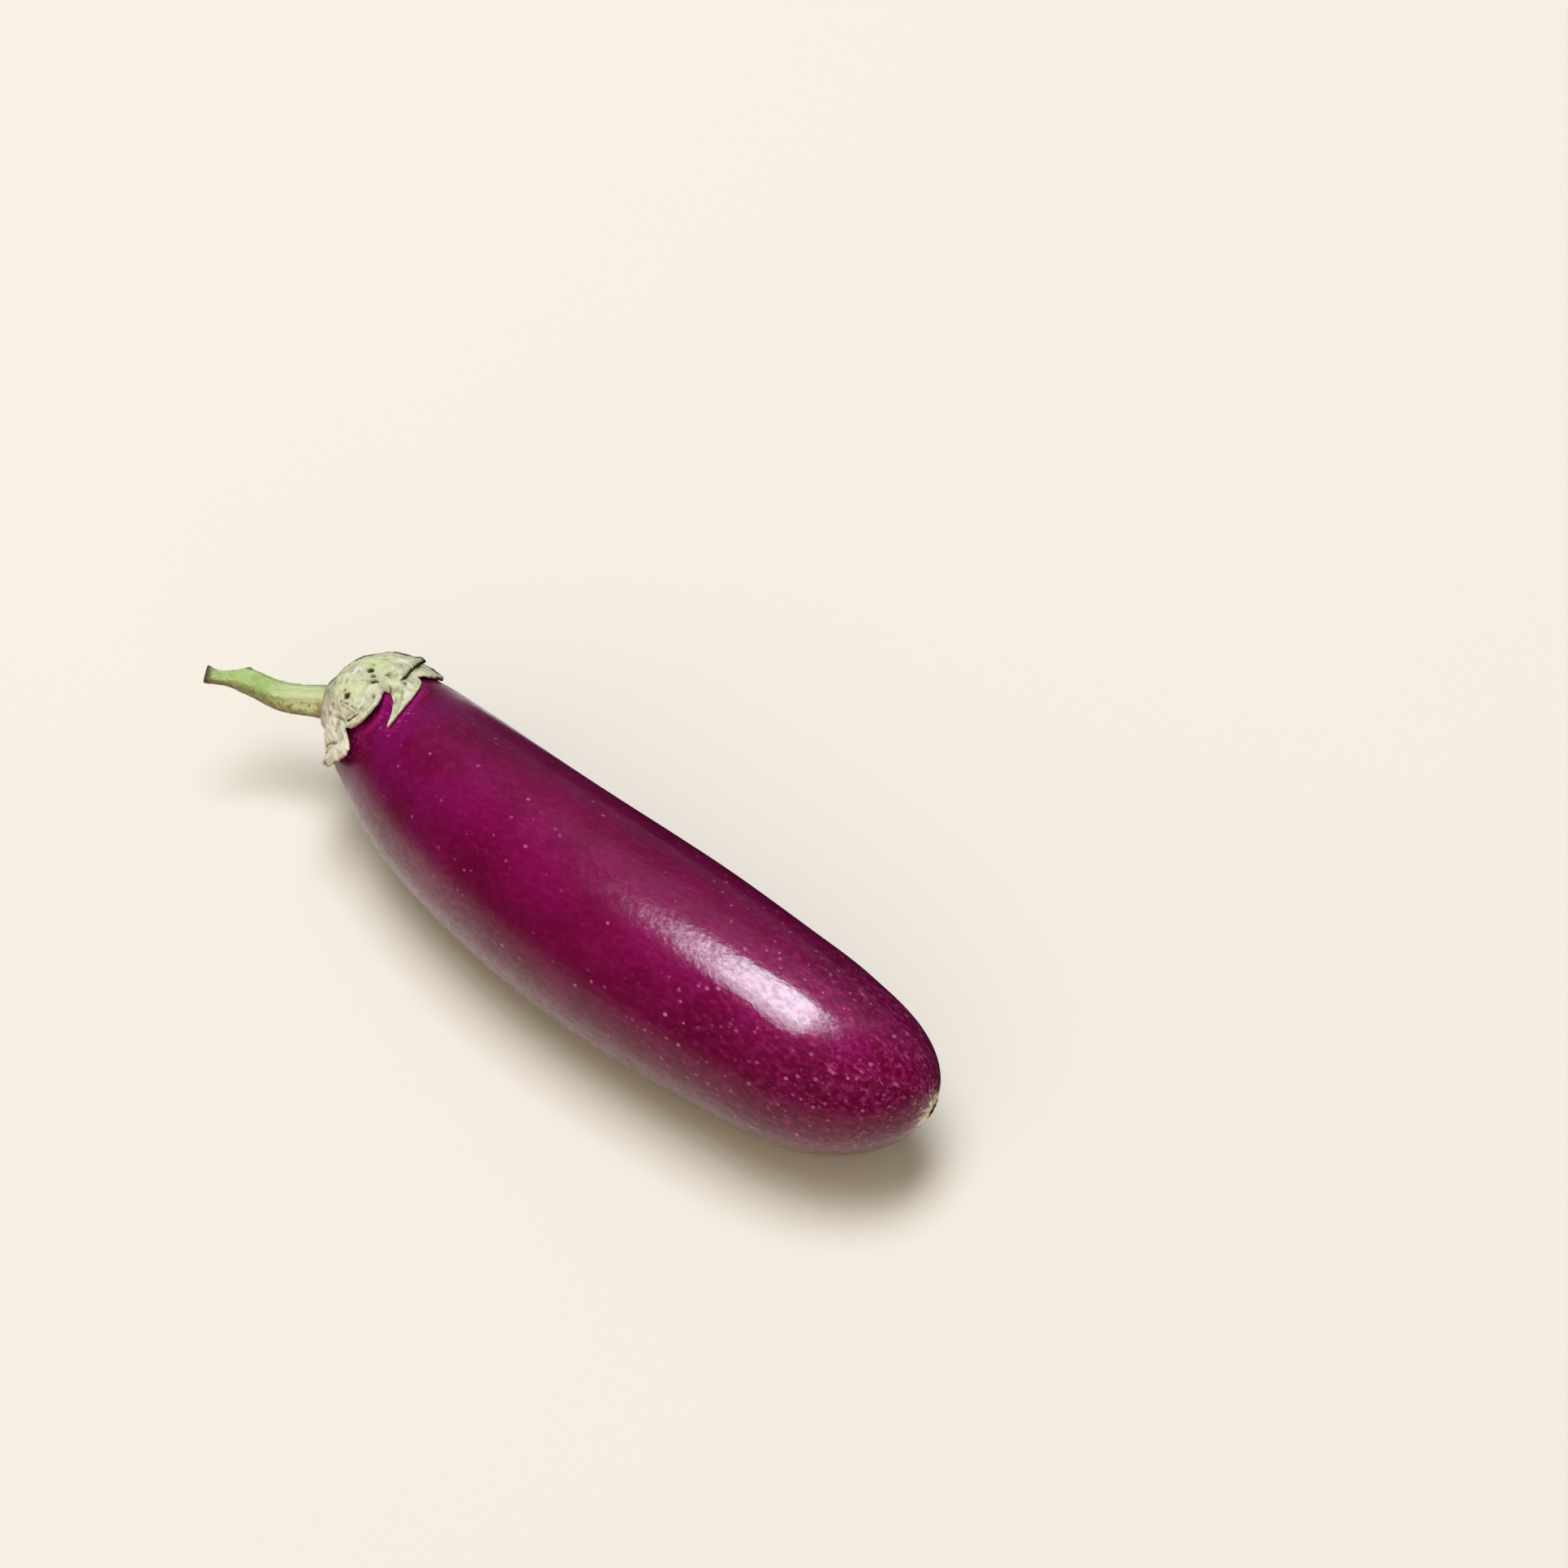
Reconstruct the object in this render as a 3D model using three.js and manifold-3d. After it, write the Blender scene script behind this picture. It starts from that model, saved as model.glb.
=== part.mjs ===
// A long purple eggplant, as picked and lying on its side: the fruit, its calyx and its stem.
// Millimetres, +Z up. The blossom end points along +X, the stem along -X, and the fruit rests on
// a small flat spot at z = 0.
import * as THREE from "three";
import { mergeVertices } from "three/addons/utils/BufferGeometryUtils.js";
import Module from "manifold-3d";

const wasm = await Module();
wasm.setup();

// ---- Driving dimensions --------------------------------------------------------------------

// The fruit's core line, from the stem end to the blossom end: x, y, z and the girth's radius.
// They are the control points of a smooth cubic spline, one unit of `station` apart.
const FRUIT_LINE = [
  [-79.1, 9, 28.5, 10],
  [-72, 12, 28.5, 14.5],
  [-56.5, 10.5, 27, 19],
  [-41.5, 5.4, 25.7, 22.9],
  [-2, -1, 25.8, 25.9],
  [35.5, -2.2, 24.8, 26.9],
  [68, -3.6, 26.6, 24],
  [84.4, -3.3, 25.8, 23],
  [109.9, 1.6, 30.7, 21.6],
];
const LAST_STATION = FRUIT_LINE.length - 1;
const SHOULDER_END = 1.1; // station where the rounded stem end has opened to its full girth
const SHOULDER_POWER = 2; // 2 is an ellipse, more is blunter
const BLOSSOM_START = 6; // station where the blossom end begins to close
const BLOSSOM_POWER = 3.1;
const FRUIT_SIDES = 54;
const FRUIT_RINGS = 42;
const RING_EVENNESS = 0.15; // 0 crowds the rings to the ends, 1 spaces them evenly

// The blossom scar: a small cupped pit just below the blossom end's tip.
const SCAR_RADIUS = 1.7;
const SCAR_DEPTH = 1.3;
const SCAR_OFFSET = { angle: 260, distance: 4.4 }; // degrees round the core line, mm from the tip
const SCAR_LIP = { width: 0.4, height: 0.4 }; // the pit flares out by this where it meets the skin
const SCAR_SIDES = 20;
const SCAR_STEPS = 6;

const FLAT_SPOT_Z = 0; // what would reach below this height is cut away

// The calyx lies on the fruit's shoulder. Angles are in degrees round the core line: 0 is the
// far side (+Y), 90 the top, 180 the near side (-Y). Reach is in mm along the skin from the stem
// end. Each lobe falls from its tip to `side` over `before` and `after` degrees, and on beyond.
// It lifts off the skin by `lift`: at once from its sides if `ease` is small, slowly if large.
const LOBES = [
  { at: 50, before: 42, after: 26, tip: 28.8, side: 23, power: 2.2, lean: 0, lift: 0.3, ease: 0.5 },
  { at: 82, before: 17, after: 10, tip: 38.5, side: 29, power: 1.15, lean: 30, lift: 0.2, ease: 0.5 },
  { at: 118, before: 28, after: 18, tip: 31.7, side: 25, power: 1.8, lean: 0, lift: 2.4, ease: 1.2 },
  { at: 140, before: 8, after: 46, tip: 35.5, side: 19, power: 1.3, lean: 0, lift: 2.5, ease: 0.5 },
  { at: 254, before: 36, after: 30, tip: 32.5, side: 19.5, power: 1.4, lean: 0, lift: 0.3, ease: 0.5 },
  { at: 312, before: 36, after: 36, tip: 36, side: 21, power: 1.3, lean: 10, lift: 1.2, ease: 0.5 },
];
const CALYX_GAP = 0.35; // between the calyx and the skin
const CALYX_BASE = 1.6; // thickness near the crown
const CALYX_EDGE = 0.8; // thickness at the lobes' edges
const CROWN_REACH = 7.6; // where the crown ends and the blade of the calyx begins
const LEAN_POWER = 1.5; // how much of a lobe's sideways lean is kept for its tip
const LIFT_START = 0.45; // share of the way out at which a lobe begins to lift off the skin
// The upper side is puffed up round one place, and the under side is as much thinner as `hollow`.
const SWELL = { height: 1.1, angle: 75, reach: 18, width: 10, hollow: 0.25 };
// A fold across the upper side: the crown's side of it stands over the edge's side. It runs at
// `reach` where the direction is `angle`, and `slant` mm further out for each degree past that.
const FOLD = {
  height: 1.1, sunk: 0.1, from: 30, to: 80, blend: 11, start: 16,
  reach: 25, angle: 60, slant: 0.1, soft: 0.6,
};
const WRINKLE = { height: 0.22, count: 17, sway: 1.7, swayLength: 4, fade: 0.2 };
const CALYX_COLUMNS = 124;
const CALYX_ROWS = 13;
const CALYX_INNER_ROWS = 6;
const CROWN_INNER_ROWS = 4;

// The stem stands in a shallow socket in the calyx's crown.
const SOCKET_FLOOR = 1.1; // above the fruit's stem end
const SOCKET_CREST = 2;
const SOCKET_LIP = { inner: 0.5, outer: 1.3, fall: 0.4 }; // the rounded lip round the socket
const STEM_GAP = 0.35;
const STEM_STRAIGHT = 3; // the stem leaves the socket straight for this long
const STEM_POINTS = [
  [-88.6, 5, 27.6],
  [-93, 2.9, 27.8],
  [-97.6, 1.1, 30],
  [-100.5, -0.3, 31.8],
  [-103.4, -2.4, 32.4],
  [-106.2, -4.6, 32.9],
  [-108.8, -6.2, 33.8],
];
const STEM_RADII = [4.5, 4.1, 3.8, 3.5, 3, 3.3, 1.9, 1.7, 2]; // with a knuckle at the bend
const STEM_RIBS = 5;
const STEM_RIB_DEPTH = 0.07; // of the radius
const STEM_TWIST = 50; // degrees that the ribs turn along the stem
const STEM_CUT_DIP = 0.5; // the dried cut face sinks a little
const STEM_SIDES = 20;
const STEM_RINGS = 26;

// ---- Curves --------------------------------------------------------------------------------

const radians = THREE.MathUtils.degToRad;
const clamp = THREE.MathUtils.clamp;
const lerp = THREE.MathUtils.lerp;
const smooth = THREE.MathUtils.smoothstep;
const UP = new THREE.Vector3(0, 0, 1);

// A uniform cubic spline through the ends of `list`, a list of equally long number lists.
function splineAt(list, station) {
  const last = list.length - 1;
  const index = Math.min(Math.floor(station), last - 1);
  const f = station - index;
  const mirrored = (end, inner) => end.map((value, k) => 2 * value - inner[k]);
  const before = index > 0 ? list[index - 1] : mirrored(list[0], list[1]);
  const after = index + 2 <= last ? list[index + 2] : mirrored(list[last], list[last - 1]);
  const weights = [
    (1 - f) ** 3 / 6,
    (3 * f ** 3 - 6 * f ** 2 + 4) / 6,
    (-3 * f ** 3 + 3 * f ** 2 + 3 * f + 1) / 6,
    f ** 3 / 6,
  ];
  const four = [before, list[index], list[index + 1], after];
  return list[0].map((_, k) => weights.reduce((sum, w, j) => sum + w * four[j][k], 0));
}

// The place on a line, with the directions along it, to its side (level) and up across it.
function frameAt(line, station) {
  const step = 1e-3;
  const last = line.length - 1;
  const ahead = splineAt(line, Math.min(station + step, last));
  const behind = splineAt(line, Math.max(station - step, 0));
  const centre = new THREE.Vector3(...splineAt(line, station).slice(0, 3));
  const along = new THREE.Vector3(...ahead.slice(0, 3)).sub(new THREE.Vector3(...behind.slice(0, 3)));
  along.normalize();
  const side = new THREE.Vector3().crossVectors(UP, along).normalize();
  const up = new THREE.Vector3().crossVectors(along, side);
  return { centre, along, side, up };
}

function outwardAt(frame, angle) {
  const direction = frame.side.clone().multiplyScalar(Math.cos(angle));
  return direction.addScaledVector(frame.up, Math.sin(angle));
}

// ---- The fruit's skin ----------------------------------------------------------------------

// 1 in the body of the fruit, falling to 0 at its two ends.
function closing(station) {
  const neck = clamp(1 - station / SHOULDER_END, 0, 1);
  const blossom = clamp((station - BLOSSOM_START) / (LAST_STATION - BLOSSOM_START), 0, 1);
  return Math.sqrt((1 - neck ** SHOULDER_POWER) * (1 - blossom ** BLOSSOM_POWER));
}

function girthAt(station) {
  return splineAt(FRUIT_LINE, station)[3] * closing(station);
}

function skinPoint(station, angle) {
  const frame = frameAt(FRUIT_LINE, station);
  return frame.centre.addScaledVector(outwardAt(frame, angle), girthAt(station));
}

// The direction straight off the skin, which leans back over the rounded ends.
function skinNormal(station, angle) {
  const step = 1e-4;
  const ahead = Math.min(station + step, LAST_STATION);
  const behind = Math.max(station - step, 0);
  const run = frameAt(FRUIT_LINE, ahead).centre.distanceTo(frameAt(FRUIT_LINE, behind).centre);
  const rise = girthAt(ahead) - girthAt(behind);
  const frame = frameAt(FRUIT_LINE, station);
  const normal = outwardAt(frame, angle).multiplyScalar(run).addScaledVector(frame.along, -rise);
  return normal.normalize();
}

// The skin's own length from the stem end, tabulated once. Squared steps follow the blunt end.
const REACH_TABLE_STATIONS = 4;
const REACH_TABLE_STEPS = 400;
const tableStation = (i) => REACH_TABLE_STATIONS * (i / REACH_TABLE_STEPS) ** 2;
const reachTable = [0];
for (let i = 1; i <= REACH_TABLE_STEPS; i++) {
  const from = frameAt(FRUIT_LINE, tableStation(i - 1)).centre;
  const run = frameAt(FRUIT_LINE, tableStation(i)).centre.distanceTo(from);
  const rise = girthAt(tableStation(i)) - girthAt(tableStation(i - 1));
  reachTable.push(reachTable[i - 1] + Math.hypot(run, rise));
}

function stationAtReach(reach) {
  const i = Math.max(reachTable.findIndex((value) => value >= reach), 1);
  const f = (reach - reachTable[i - 1]) / (reachTable[i] - reachTable[i - 1]);
  return tableStation(i - 1 + f);
}

function aboveSkin(reach, angle, height) {
  const station = stationAtReach(reach);
  return skinPoint(station, angle).addScaledVector(skinNormal(station, angle), height);
}

// ---- Closed surfaces -----------------------------------------------------------------------

// A closed body of rings between two end points. place(column, row) gives the rings' points, and
// the columns run round so that their faces look out.
function ringBody(first, last, columns, rows, place) {
  const vertices = [...first.toArray()];
  for (let row = 0; row < rows; row++) {
    for (let column = 0; column < columns; column++) {
      vertices.push(...place(column, row).toArray());
    }
  }
  vertices.push(...last.toArray());
  const at = (column, row) => 1 + row * columns + (column % columns);
  const end = 1 + rows * columns;
  const faces = [];
  for (let column = 0; column < columns; column++) {
    faces.push(0, at(column + 1, 0), at(column, 0));
    for (let row = 0; row < rows - 1; row++) {
      const [a, b] = [at(column, row), at(column + 1, row)];
      const [c, d] = [at(column, row + 1), at(column + 1, row + 1)];
      faces.push(a, b, d, a, d, c);
    }
    faces.push(at(column, rows - 1), at(column + 1, rows - 1), end);
  }
  const geometry = new THREE.BufferGeometry();
  geometry.setAttribute("position", new THREE.Float32BufferAttribute(vertices, 3));
  geometry.setIndex(faces);
  return geometry;
}

function toManifold(geometry) {
  const bare = geometry.clone();
  bare.deleteAttribute("uv");
  bare.deleteAttribute("normal");
  const merged = mergeVertices(bare, 1e-4);
  const index = merged.index.array;
  const faces = [];
  for (let i = 0; i < index.length; i += 3) {
    const [a, b, c] = index.slice(i, i + 3);
    if (a !== b && b !== c && c !== a) faces.push(a, b, c);
  }
  const vertProperties = Float32Array.from(merged.attributes.position.array);
  const triVerts = Uint32Array.from(faces);
  return new wasm.Manifold(new wasm.Mesh({ numProp: 3, vertProperties, triVerts }));
}

function fromManifold(solid) {
  const mesh = solid.getMesh();
  const geometry = new THREE.BufferGeometry();
  geometry.setAttribute("position", new THREE.BufferAttribute(mesh.vertProperties, 3));
  geometry.setIndex(new THREE.BufferAttribute(mesh.triVerts, 1));
  return geometry;
}

// ---- Fruit ---------------------------------------------------------------------------------

// Rings lie close together at the two blunt ends and evenly along the body.
function ringStation(row) {
  const turn = ((row + 1) / (FRUIT_RINGS + 1)) * Math.PI;
  const even = turn / Math.PI;
  const rounded = (1 - Math.cos(turn)) / 2;
  return LAST_STATION * lerp(rounded, even, RING_EVENNESS * Math.sin(turn));
}

function fruitBody() {
  const stemEnd = frameAt(FRUIT_LINE, 0).centre;
  const tip = frameAt(FRUIT_LINE, LAST_STATION).centre;
  const place = (column, row) => skinPoint(ringStation(row), (column / FRUIT_SIDES) * 2 * Math.PI);
  return ringBody(stemEnd, tip, FRUIT_SIDES, FRUIT_RINGS, place);
}

// A turned bowl with a flared lip, which is set into the skin beside the blossom end's tip.
function scarCutter() {
  const profile = [];
  for (let step = 0; step <= SCAR_STEPS; step++) {
    const turn = (step / SCAR_STEPS) * (Math.PI / 2);
    profile.push(new THREE.Vector2(SCAR_RADIUS * Math.sin(turn), -SCAR_DEPTH * Math.cos(turn)));
  }
  profile.push(new THREE.Vector2(SCAR_RADIUS + SCAR_LIP.width, SCAR_LIP.height));
  profile.push(new THREE.Vector2(0, SCAR_LIP.height));
  const bowl = new THREE.LatheGeometry(profile, SCAR_SIDES);

  // Near its tip the blossom end is close to a ball of the body's girth.
  const ball = girthAt(BLOSSOM_START);
  const frame = frameAt(FRUIT_LINE, LAST_STATION);
  const sideways = outwardAt(frame, radians(SCAR_OFFSET.angle));
  const normal = frame.along.clone().addScaledVector(sideways, SCAR_OFFSET.distance / ball).normalize();
  const centre = frame.centre.addScaledVector(sideways, SCAR_OFFSET.distance);
  centre.addScaledVector(frame.along, -(SCAR_OFFSET.distance ** 2) / (2 * ball));
  bowl.applyQuaternion(new THREE.Quaternion().setFromUnitVectors(new THREE.Vector3(0, 1, 0), normal));
  bowl.translate(centre.x, centre.y, centre.z);
  return bowl;
}

// The ground under the fruit, as a block whose top is the resting plane.
function groundBlock() {
  const size = 300;
  const block = new THREE.BoxGeometry(size, size, size);
  block.translate(0, 0, FLAT_SPOT_Z - size / 2);
  return block;
}

function makeFruit() {
  const solid = toManifold(fruitBody())
    .subtract(toManifold(scarCutter()))
    .subtract(toManifold(groundBlock()));
  const material = new THREE.MeshStandardMaterial({ color: 0x6b0f45, roughness: 0.3, metalness: 0 });
  return new THREE.Mesh(fromManifold(solid), material);
}

// ---- Calyx ---------------------------------------------------------------------------------

// The lobe that a direction belongs to: how far its edge reaches, and how far into the lobe the
// direction is, from 0 at its sides to 1 at its tip.
function lobeAt(angle) {
  let best = { edge: 0 };
  for (const lobe of LOBES) {
    const turn = THREE.MathUtils.euclideanModulo(angle - lobe.at + 180, 360) - 180;
    const width = turn < 0 ? lobe.before : lobe.after;
    const inside = 1 - (Math.abs(turn) / width) ** lobe.power;
    const edge = lobe.side + (lobe.tip - lobe.side) * inside;
    if (edge > best.edge) best = { lobe, edge, inside: Math.max(inside, 0) };
  }
  return best;
}

// The columns' directions, spaced evenly along the calyx's edge so that every lobe is well drawn.
function columnAngles() {
  const steps = 3600;
  const middleGirth = girthAt(1);
  const lengths = [0];
  for (let i = 1; i <= steps; i++) {
    const [from, to] = [lobeAt(((i - 1) * 360) / steps), lobeAt((i * 360) / steps)];
    const across = (middleGirth * 2 * Math.PI) / steps;
    lengths.push(lengths[i - 1] + Math.hypot(across, to.edge - from.edge));
  }
  const total = lengths[steps];
  const angles = [];
  for (let column = 0; column < CALYX_COLUMNS; column++) {
    const wanted = (column / CALYX_COLUMNS) * total;
    const i = Math.max(lengths.findIndex((value) => value >= wanted), 1);
    const f = (wanted - lengths[i - 1]) / (lengths[i] - lengths[i - 1]);
    angles.push(((i - 1 + f) * 360) / steps);
  }
  return angles;
}

// How far a lobe has lifted off the skin, `t` of the way from the crown to its edge.
function liftAt(lobe, inside, t) {
  return lobe.lift * inside ** lobe.ease * smooth(t, LIFT_START, 1) ** 1.5;
}

function swellAt(column, reach) {
  const facing = Math.max(Math.cos(radians(column - SWELL.angle)), -SWELL.hollow);
  return SWELL.height * facing * Math.exp(-(((reach - SWELL.reach) / SWELL.width) ** 2));
}

function foldAt(column, reach) {
  const opening = smooth(column, FOLD.from - FOLD.blend, FOLD.from);
  const ending = 1 - smooth(column, FOLD.to, FOLD.to + FOLD.blend);
  const foldReach = FOLD.reach + FOLD.slant * (column - FOLD.angle);
  const crownSide = 1 - smooth(reach, foldReach - FOLD.soft, foldReach + FOLD.soft);
  const rising = smooth(reach, FOLD.start, foldReach);
  return opening * ending * rising * (FOLD.height * crownSide - FOLD.sunk);
}

// Ribs and furrows that run from the crown to the edge and sway a little on the way.
function wrinkleAt(column, reach, t) {
  const sway = WRINKLE.sway * Math.sin(reach / WRINKLE.swayLength);
  const wave = Math.sin(radians(column * WRINKLE.count) + sway);
  return WRINKLE.height * wave * smooth(t, 0, WRINKLE.fade) * (1 - smooth(t, 1 - WRINKLE.fade, 1));
}

function bladeThickness(column, reach, t) {
  const plain = lerp(CALYX_BASE, CALYX_EDGE, smooth(t, 0, 1));
  const relief = swellAt(column, reach) + foldAt(column, reach) + wrinkleAt(column, reach, t);
  return Math.max(plain + relief * (1 - smooth(t, 0.9, 1)), CALYX_EDGE);
}

// A point of the calyx's outer (face 1) or inner (face 0) side, or between them.
function bladePoint(column, t, face) {
  const { lobe, edge, inside } = lobeAt(column);
  const reach = lerp(CROWN_REACH, edge, t);
  const angle = column + lobe.lean * inside ** LEAN_POWER * t ** 3;
  const thickness = bladeThickness(column, reach, t);
  return aboveSkin(reach, radians(angle), CALYX_GAP + liftAt(lobe, inside, t) + thickness * face);
}

// The middle of the blade's edge, rounded outwards.
function edgePoint(column) {
  const middle = bladePoint(column, 1, 0.5);
  const outward = middle.clone().sub(bladePoint(column, 0.97, 0.5)).normalize();
  return middle.addScaledVector(outward, CALYX_EDGE / 3);
}

// The crown's socket, measured from the fruit's stem end: [radius, height] of each ring.
function socketRings() {
  const wall = STEM_RADII[0] * (1 + STEM_RIB_DEPTH) + STEM_GAP;
  return [
    [wall, SOCKET_FLOOR],
    [wall, SOCKET_CREST - SOCKET_LIP.fall],
    [wall + SOCKET_LIP.inner, SOCKET_CREST],
    [wall + SOCKET_LIP.outer, SOCKET_CREST - SOCKET_LIP.fall],
  ];
}

// Rings from the socket's floor over the blade's outer side to its edge, and back underneath.
function calyxBody() {
  const angles = columnAngles();
  const frame = frameAt(FRUIT_LINE, 0);
  const outward = frame.along.clone().negate();
  const socket = socketRings();
  const edgeRow = socket.length + CALYX_ROWS + 1;
  const crownRow = edgeRow + 1 + CALYX_INNER_ROWS;
  const rows = crownRow + CROWN_INNER_ROWS;

  function place(column, row) {
    const angle = angles[column];
    if (row < socket.length) {
      const [radius, height] = socket[row];
      const centre = frame.centre.clone().addScaledVector(outward, height);
      return centre.addScaledVector(outwardAt(frame, radians(angle)), radius);
    }
    if (row < edgeRow) {
      return bladePoint(angle, (row - socket.length) / CALYX_ROWS, 1);
    }
    if (row === edgeRow) {
      return edgePoint(angle);
    }
    if (row < crownRow) {
      return bladePoint(angle, 1 - (row - edgeRow - 1) / CALYX_INNER_ROWS, 0);
    }
    const reach = CROWN_REACH * (1 - (row - crownRow) / CROWN_INNER_ROWS);
    return aboveSkin(reach, radians(angle), CALYX_GAP);
  }

  const floor = frame.centre.clone().addScaledVector(outward, SOCKET_FLOOR);
  const under = frame.centre.clone().addScaledVector(outward, CALYX_GAP);
  return ringBody(floor, under, CALYX_COLUMNS, rows, place);
}

function makeCalyx() {
  const material = new THREE.MeshStandardMaterial({ color: 0xa9b084, roughness: 0.7, metalness: 0 });
  return new THREE.Mesh(calyxBody(), material);
}

// ---- Stem ----------------------------------------------------------------------------------

// From the socket's floor straight out of it, then on through the stem's own points.
function stemLine() {
  const frame = frameAt(FRUIT_LINE, 0);
  const start = SOCKET_FLOOR + STEM_GAP;
  const onAxis = (height) => frame.centre.clone().addScaledVector(frame.along, -height).toArray();
  return [onAxis(start), onAxis(start + STEM_STRAIGHT), ...STEM_POINTS];
}

function stemBody() {
  const line = stemLine();
  const last = line.length - 1;
  const radii = STEM_RADII.map((radius) => [radius]);

  function place(column, row) {
    const station = (row / (STEM_RINGS - 1)) * last;
    const frame = frameAt(line, station);
    const angle = (column / STEM_SIDES) * 2 * Math.PI;
    const turned = STEM_RIBS * (angle + radians(STEM_TWIST) * (station / last));
    const radius = splineAt(radii, station)[0] * (1 + STEM_RIB_DEPTH * Math.cos(turned));
    return frame.centre.addScaledVector(outwardAt(frame, angle), radius);
  }

  const base = frameAt(line, 0).centre;
  const cut = frameAt(line, last);
  const cutCentre = cut.centre.addScaledVector(cut.along, -STEM_CUT_DIP);
  return ringBody(base, cutCentre, STEM_SIDES, STEM_RINGS, place);
}

function makeStem() {
  const material = new THREE.MeshStandardMaterial({ color: 0x8fae5a, roughness: 0.65, metalness: 0 });
  return new THREE.Mesh(stemBody(), material);
}

// ---- The whole eggplant --------------------------------------------------------------------

const eggplant = new THREE.Group();
const pieces = { fruit: makeFruit(), calyx: makeCalyx(), stem: makeStem() };
for (const [name, mesh] of Object.entries(pieces)) {
  mesh.name = name;
  eggplant.add(mesh);
}

export default eggplant;
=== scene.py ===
import itertools
import math

import bpy
import numpy as np
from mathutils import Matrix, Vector


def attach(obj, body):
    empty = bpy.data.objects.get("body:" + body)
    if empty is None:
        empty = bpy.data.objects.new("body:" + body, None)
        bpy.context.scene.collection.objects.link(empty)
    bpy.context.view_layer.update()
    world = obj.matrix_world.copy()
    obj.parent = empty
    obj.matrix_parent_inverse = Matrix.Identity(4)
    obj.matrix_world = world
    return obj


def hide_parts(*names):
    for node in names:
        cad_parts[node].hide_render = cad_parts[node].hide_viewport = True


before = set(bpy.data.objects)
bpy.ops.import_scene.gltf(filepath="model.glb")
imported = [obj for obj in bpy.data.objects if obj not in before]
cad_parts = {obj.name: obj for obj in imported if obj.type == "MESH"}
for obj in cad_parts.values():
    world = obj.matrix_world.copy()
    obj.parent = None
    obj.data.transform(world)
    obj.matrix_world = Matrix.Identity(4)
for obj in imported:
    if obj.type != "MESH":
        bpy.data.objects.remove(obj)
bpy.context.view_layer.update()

MM = 0.001
LIGHT_LEVEL = 2.14  # how many times its own colour an upright white face would shine
KEY_COLOUR, FILL_COLOUR = (0.93, 0.985, 1.09), (1.17, 1.02, 0.74)  # together they make white

# ---- The part's own dimensions -----------

# The core line's points and the fruit's radius at each: x, y, z, radius.
FRUIT_LINE = np.array([
    [-79.1, 9, 28.5, 10],
    [-72, 12, 28.5, 14.5],
    [-56.5, 10.5, 27, 19],
    [-41.5, 5.4, 25.7, 22.9],
    [-2, -1, 25.8, 25.9],
    [35.5, -2.2, 24.8, 26.9],
    [68, -3.6, 26.6, 24],
    [84.4, -3.3, 25.8, 23],
    [109.9, 1.6, 30.7, 21.6],
])
LAST_STATION = len(FRUIT_LINE) - 1  # a station counts along the line's points
SHOULDER_END, SHOULDER_POWER = 1.1, 2
BLOSSOM_START, BLOSSOM_POWER = 6, 3.1

SCAR_ANGLE, SCAR_DISTANCE = 260, 4.4

# The calyx's lobes: at, before, after, tip, side, power, lean, lift, ease. Angles are in degrees
# round the core line: 0 is the far side, 90 the top, 180 the near side.
LOBES = [
    (50, 42, 26, 28.8, 23, 2.2, 0, 0.3, 0.5),
    (82, 17, 10, 38.5, 29, 1.15, 30, 0.2, 0.5),
    (118, 28, 18, 31.7, 25, 1.8, 0, 2.4, 1.2),
    (140, 8, 46, 35.5, 19, 1.3, 0, 2.5, 0.5),
    (254, 36, 30, 32.5, 19.5, 1.4, 0, 0.3, 0.5),
    (312, 36, 36, 36, 21, 1.3, 10, 1.2, 0.5),
]
CALYX_GAP, CALYX_BASE, CALYX_EDGE = 0.35, 1.6, 0.8
CROWN_REACH = 7.6
LEAN_POWER = 1.5
LIFT_START = 0.45
SOCKET_FLOOR, SOCKET_CREST = 1.1, 2.0

STEM_GAP, STEM_STRAIGHT = 0.35, 3
STEM_POINTS = [
    [-88.6, 5, 27.6],
    [-93, 2.9, 27.8],
    [-97.6, 1.1, 30],
    [-100.5, -0.3, 31.8],
    [-103.4, -2.4, 32.4],
    [-106.2, -4.6, 32.9],
    [-108.8, -6.2, 33.8],
]
STEM_RADII = np.array([4.5, 4.1, 3.8, 3.5, 3, 3.3, 1.9, 1.7, 2])
STEM_RIBS, STEM_RIB_DEPTH, STEM_TWIST = 5, 0.07, math.radians(50)

# ---- Small maths -------------------------


def smooth(x, low, high):
    """From 0 to 1, with soft ends, as x goes from low to high."""
    f = np.clip((np.asarray(x, float) - low) / (high - low), 0, 1)
    return f * f * (3 - 2 * f)


def bump(x, centre, width):
    return np.exp(-(((x - centre) / width) ** 2))


def unit(v):
    return v / np.maximum(np.linalg.norm(v, axis=-1, keepdims=True), 1e-12)


class Noise:
    """Smooth seeded noise, about -1 to 1, on a lattice that repeats every SIZE cells."""

    SIZE = 32

    def __init__(self, seed):
        self.values = np.random.default_rng(seed).uniform(-1, 1, (self.SIZE,) * 3)

    def __call__(self, x, y, z=0.0):
        at = np.stack(np.broadcast_arrays(x, y, z), -1).astype(float)
        cell = np.floor(at).astype(int)
        f = at - cell
        f = f * f * f * (f * (f * 6 - 15) + 10)
        total = 0
        for corner in itertools.product((0, 1), repeat=3):
            index = (cell + corner) % self.SIZE
            weight = np.prod(np.where(corner, f, 1 - f), -1)
            total = total + weight * self.values[index[..., 0], index[..., 1], index[..., 2]]
        return total

    def layered(self, x, y, z=0.0, layers=3):
        total, scale, height = 0, 1.0, 1.0
        for _ in range(layers):
            total = total + height * self(x * scale, y * scale, np.asarray(z) * scale)
            scale, height = scale * 2.03, height * 0.5
        return total


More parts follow.
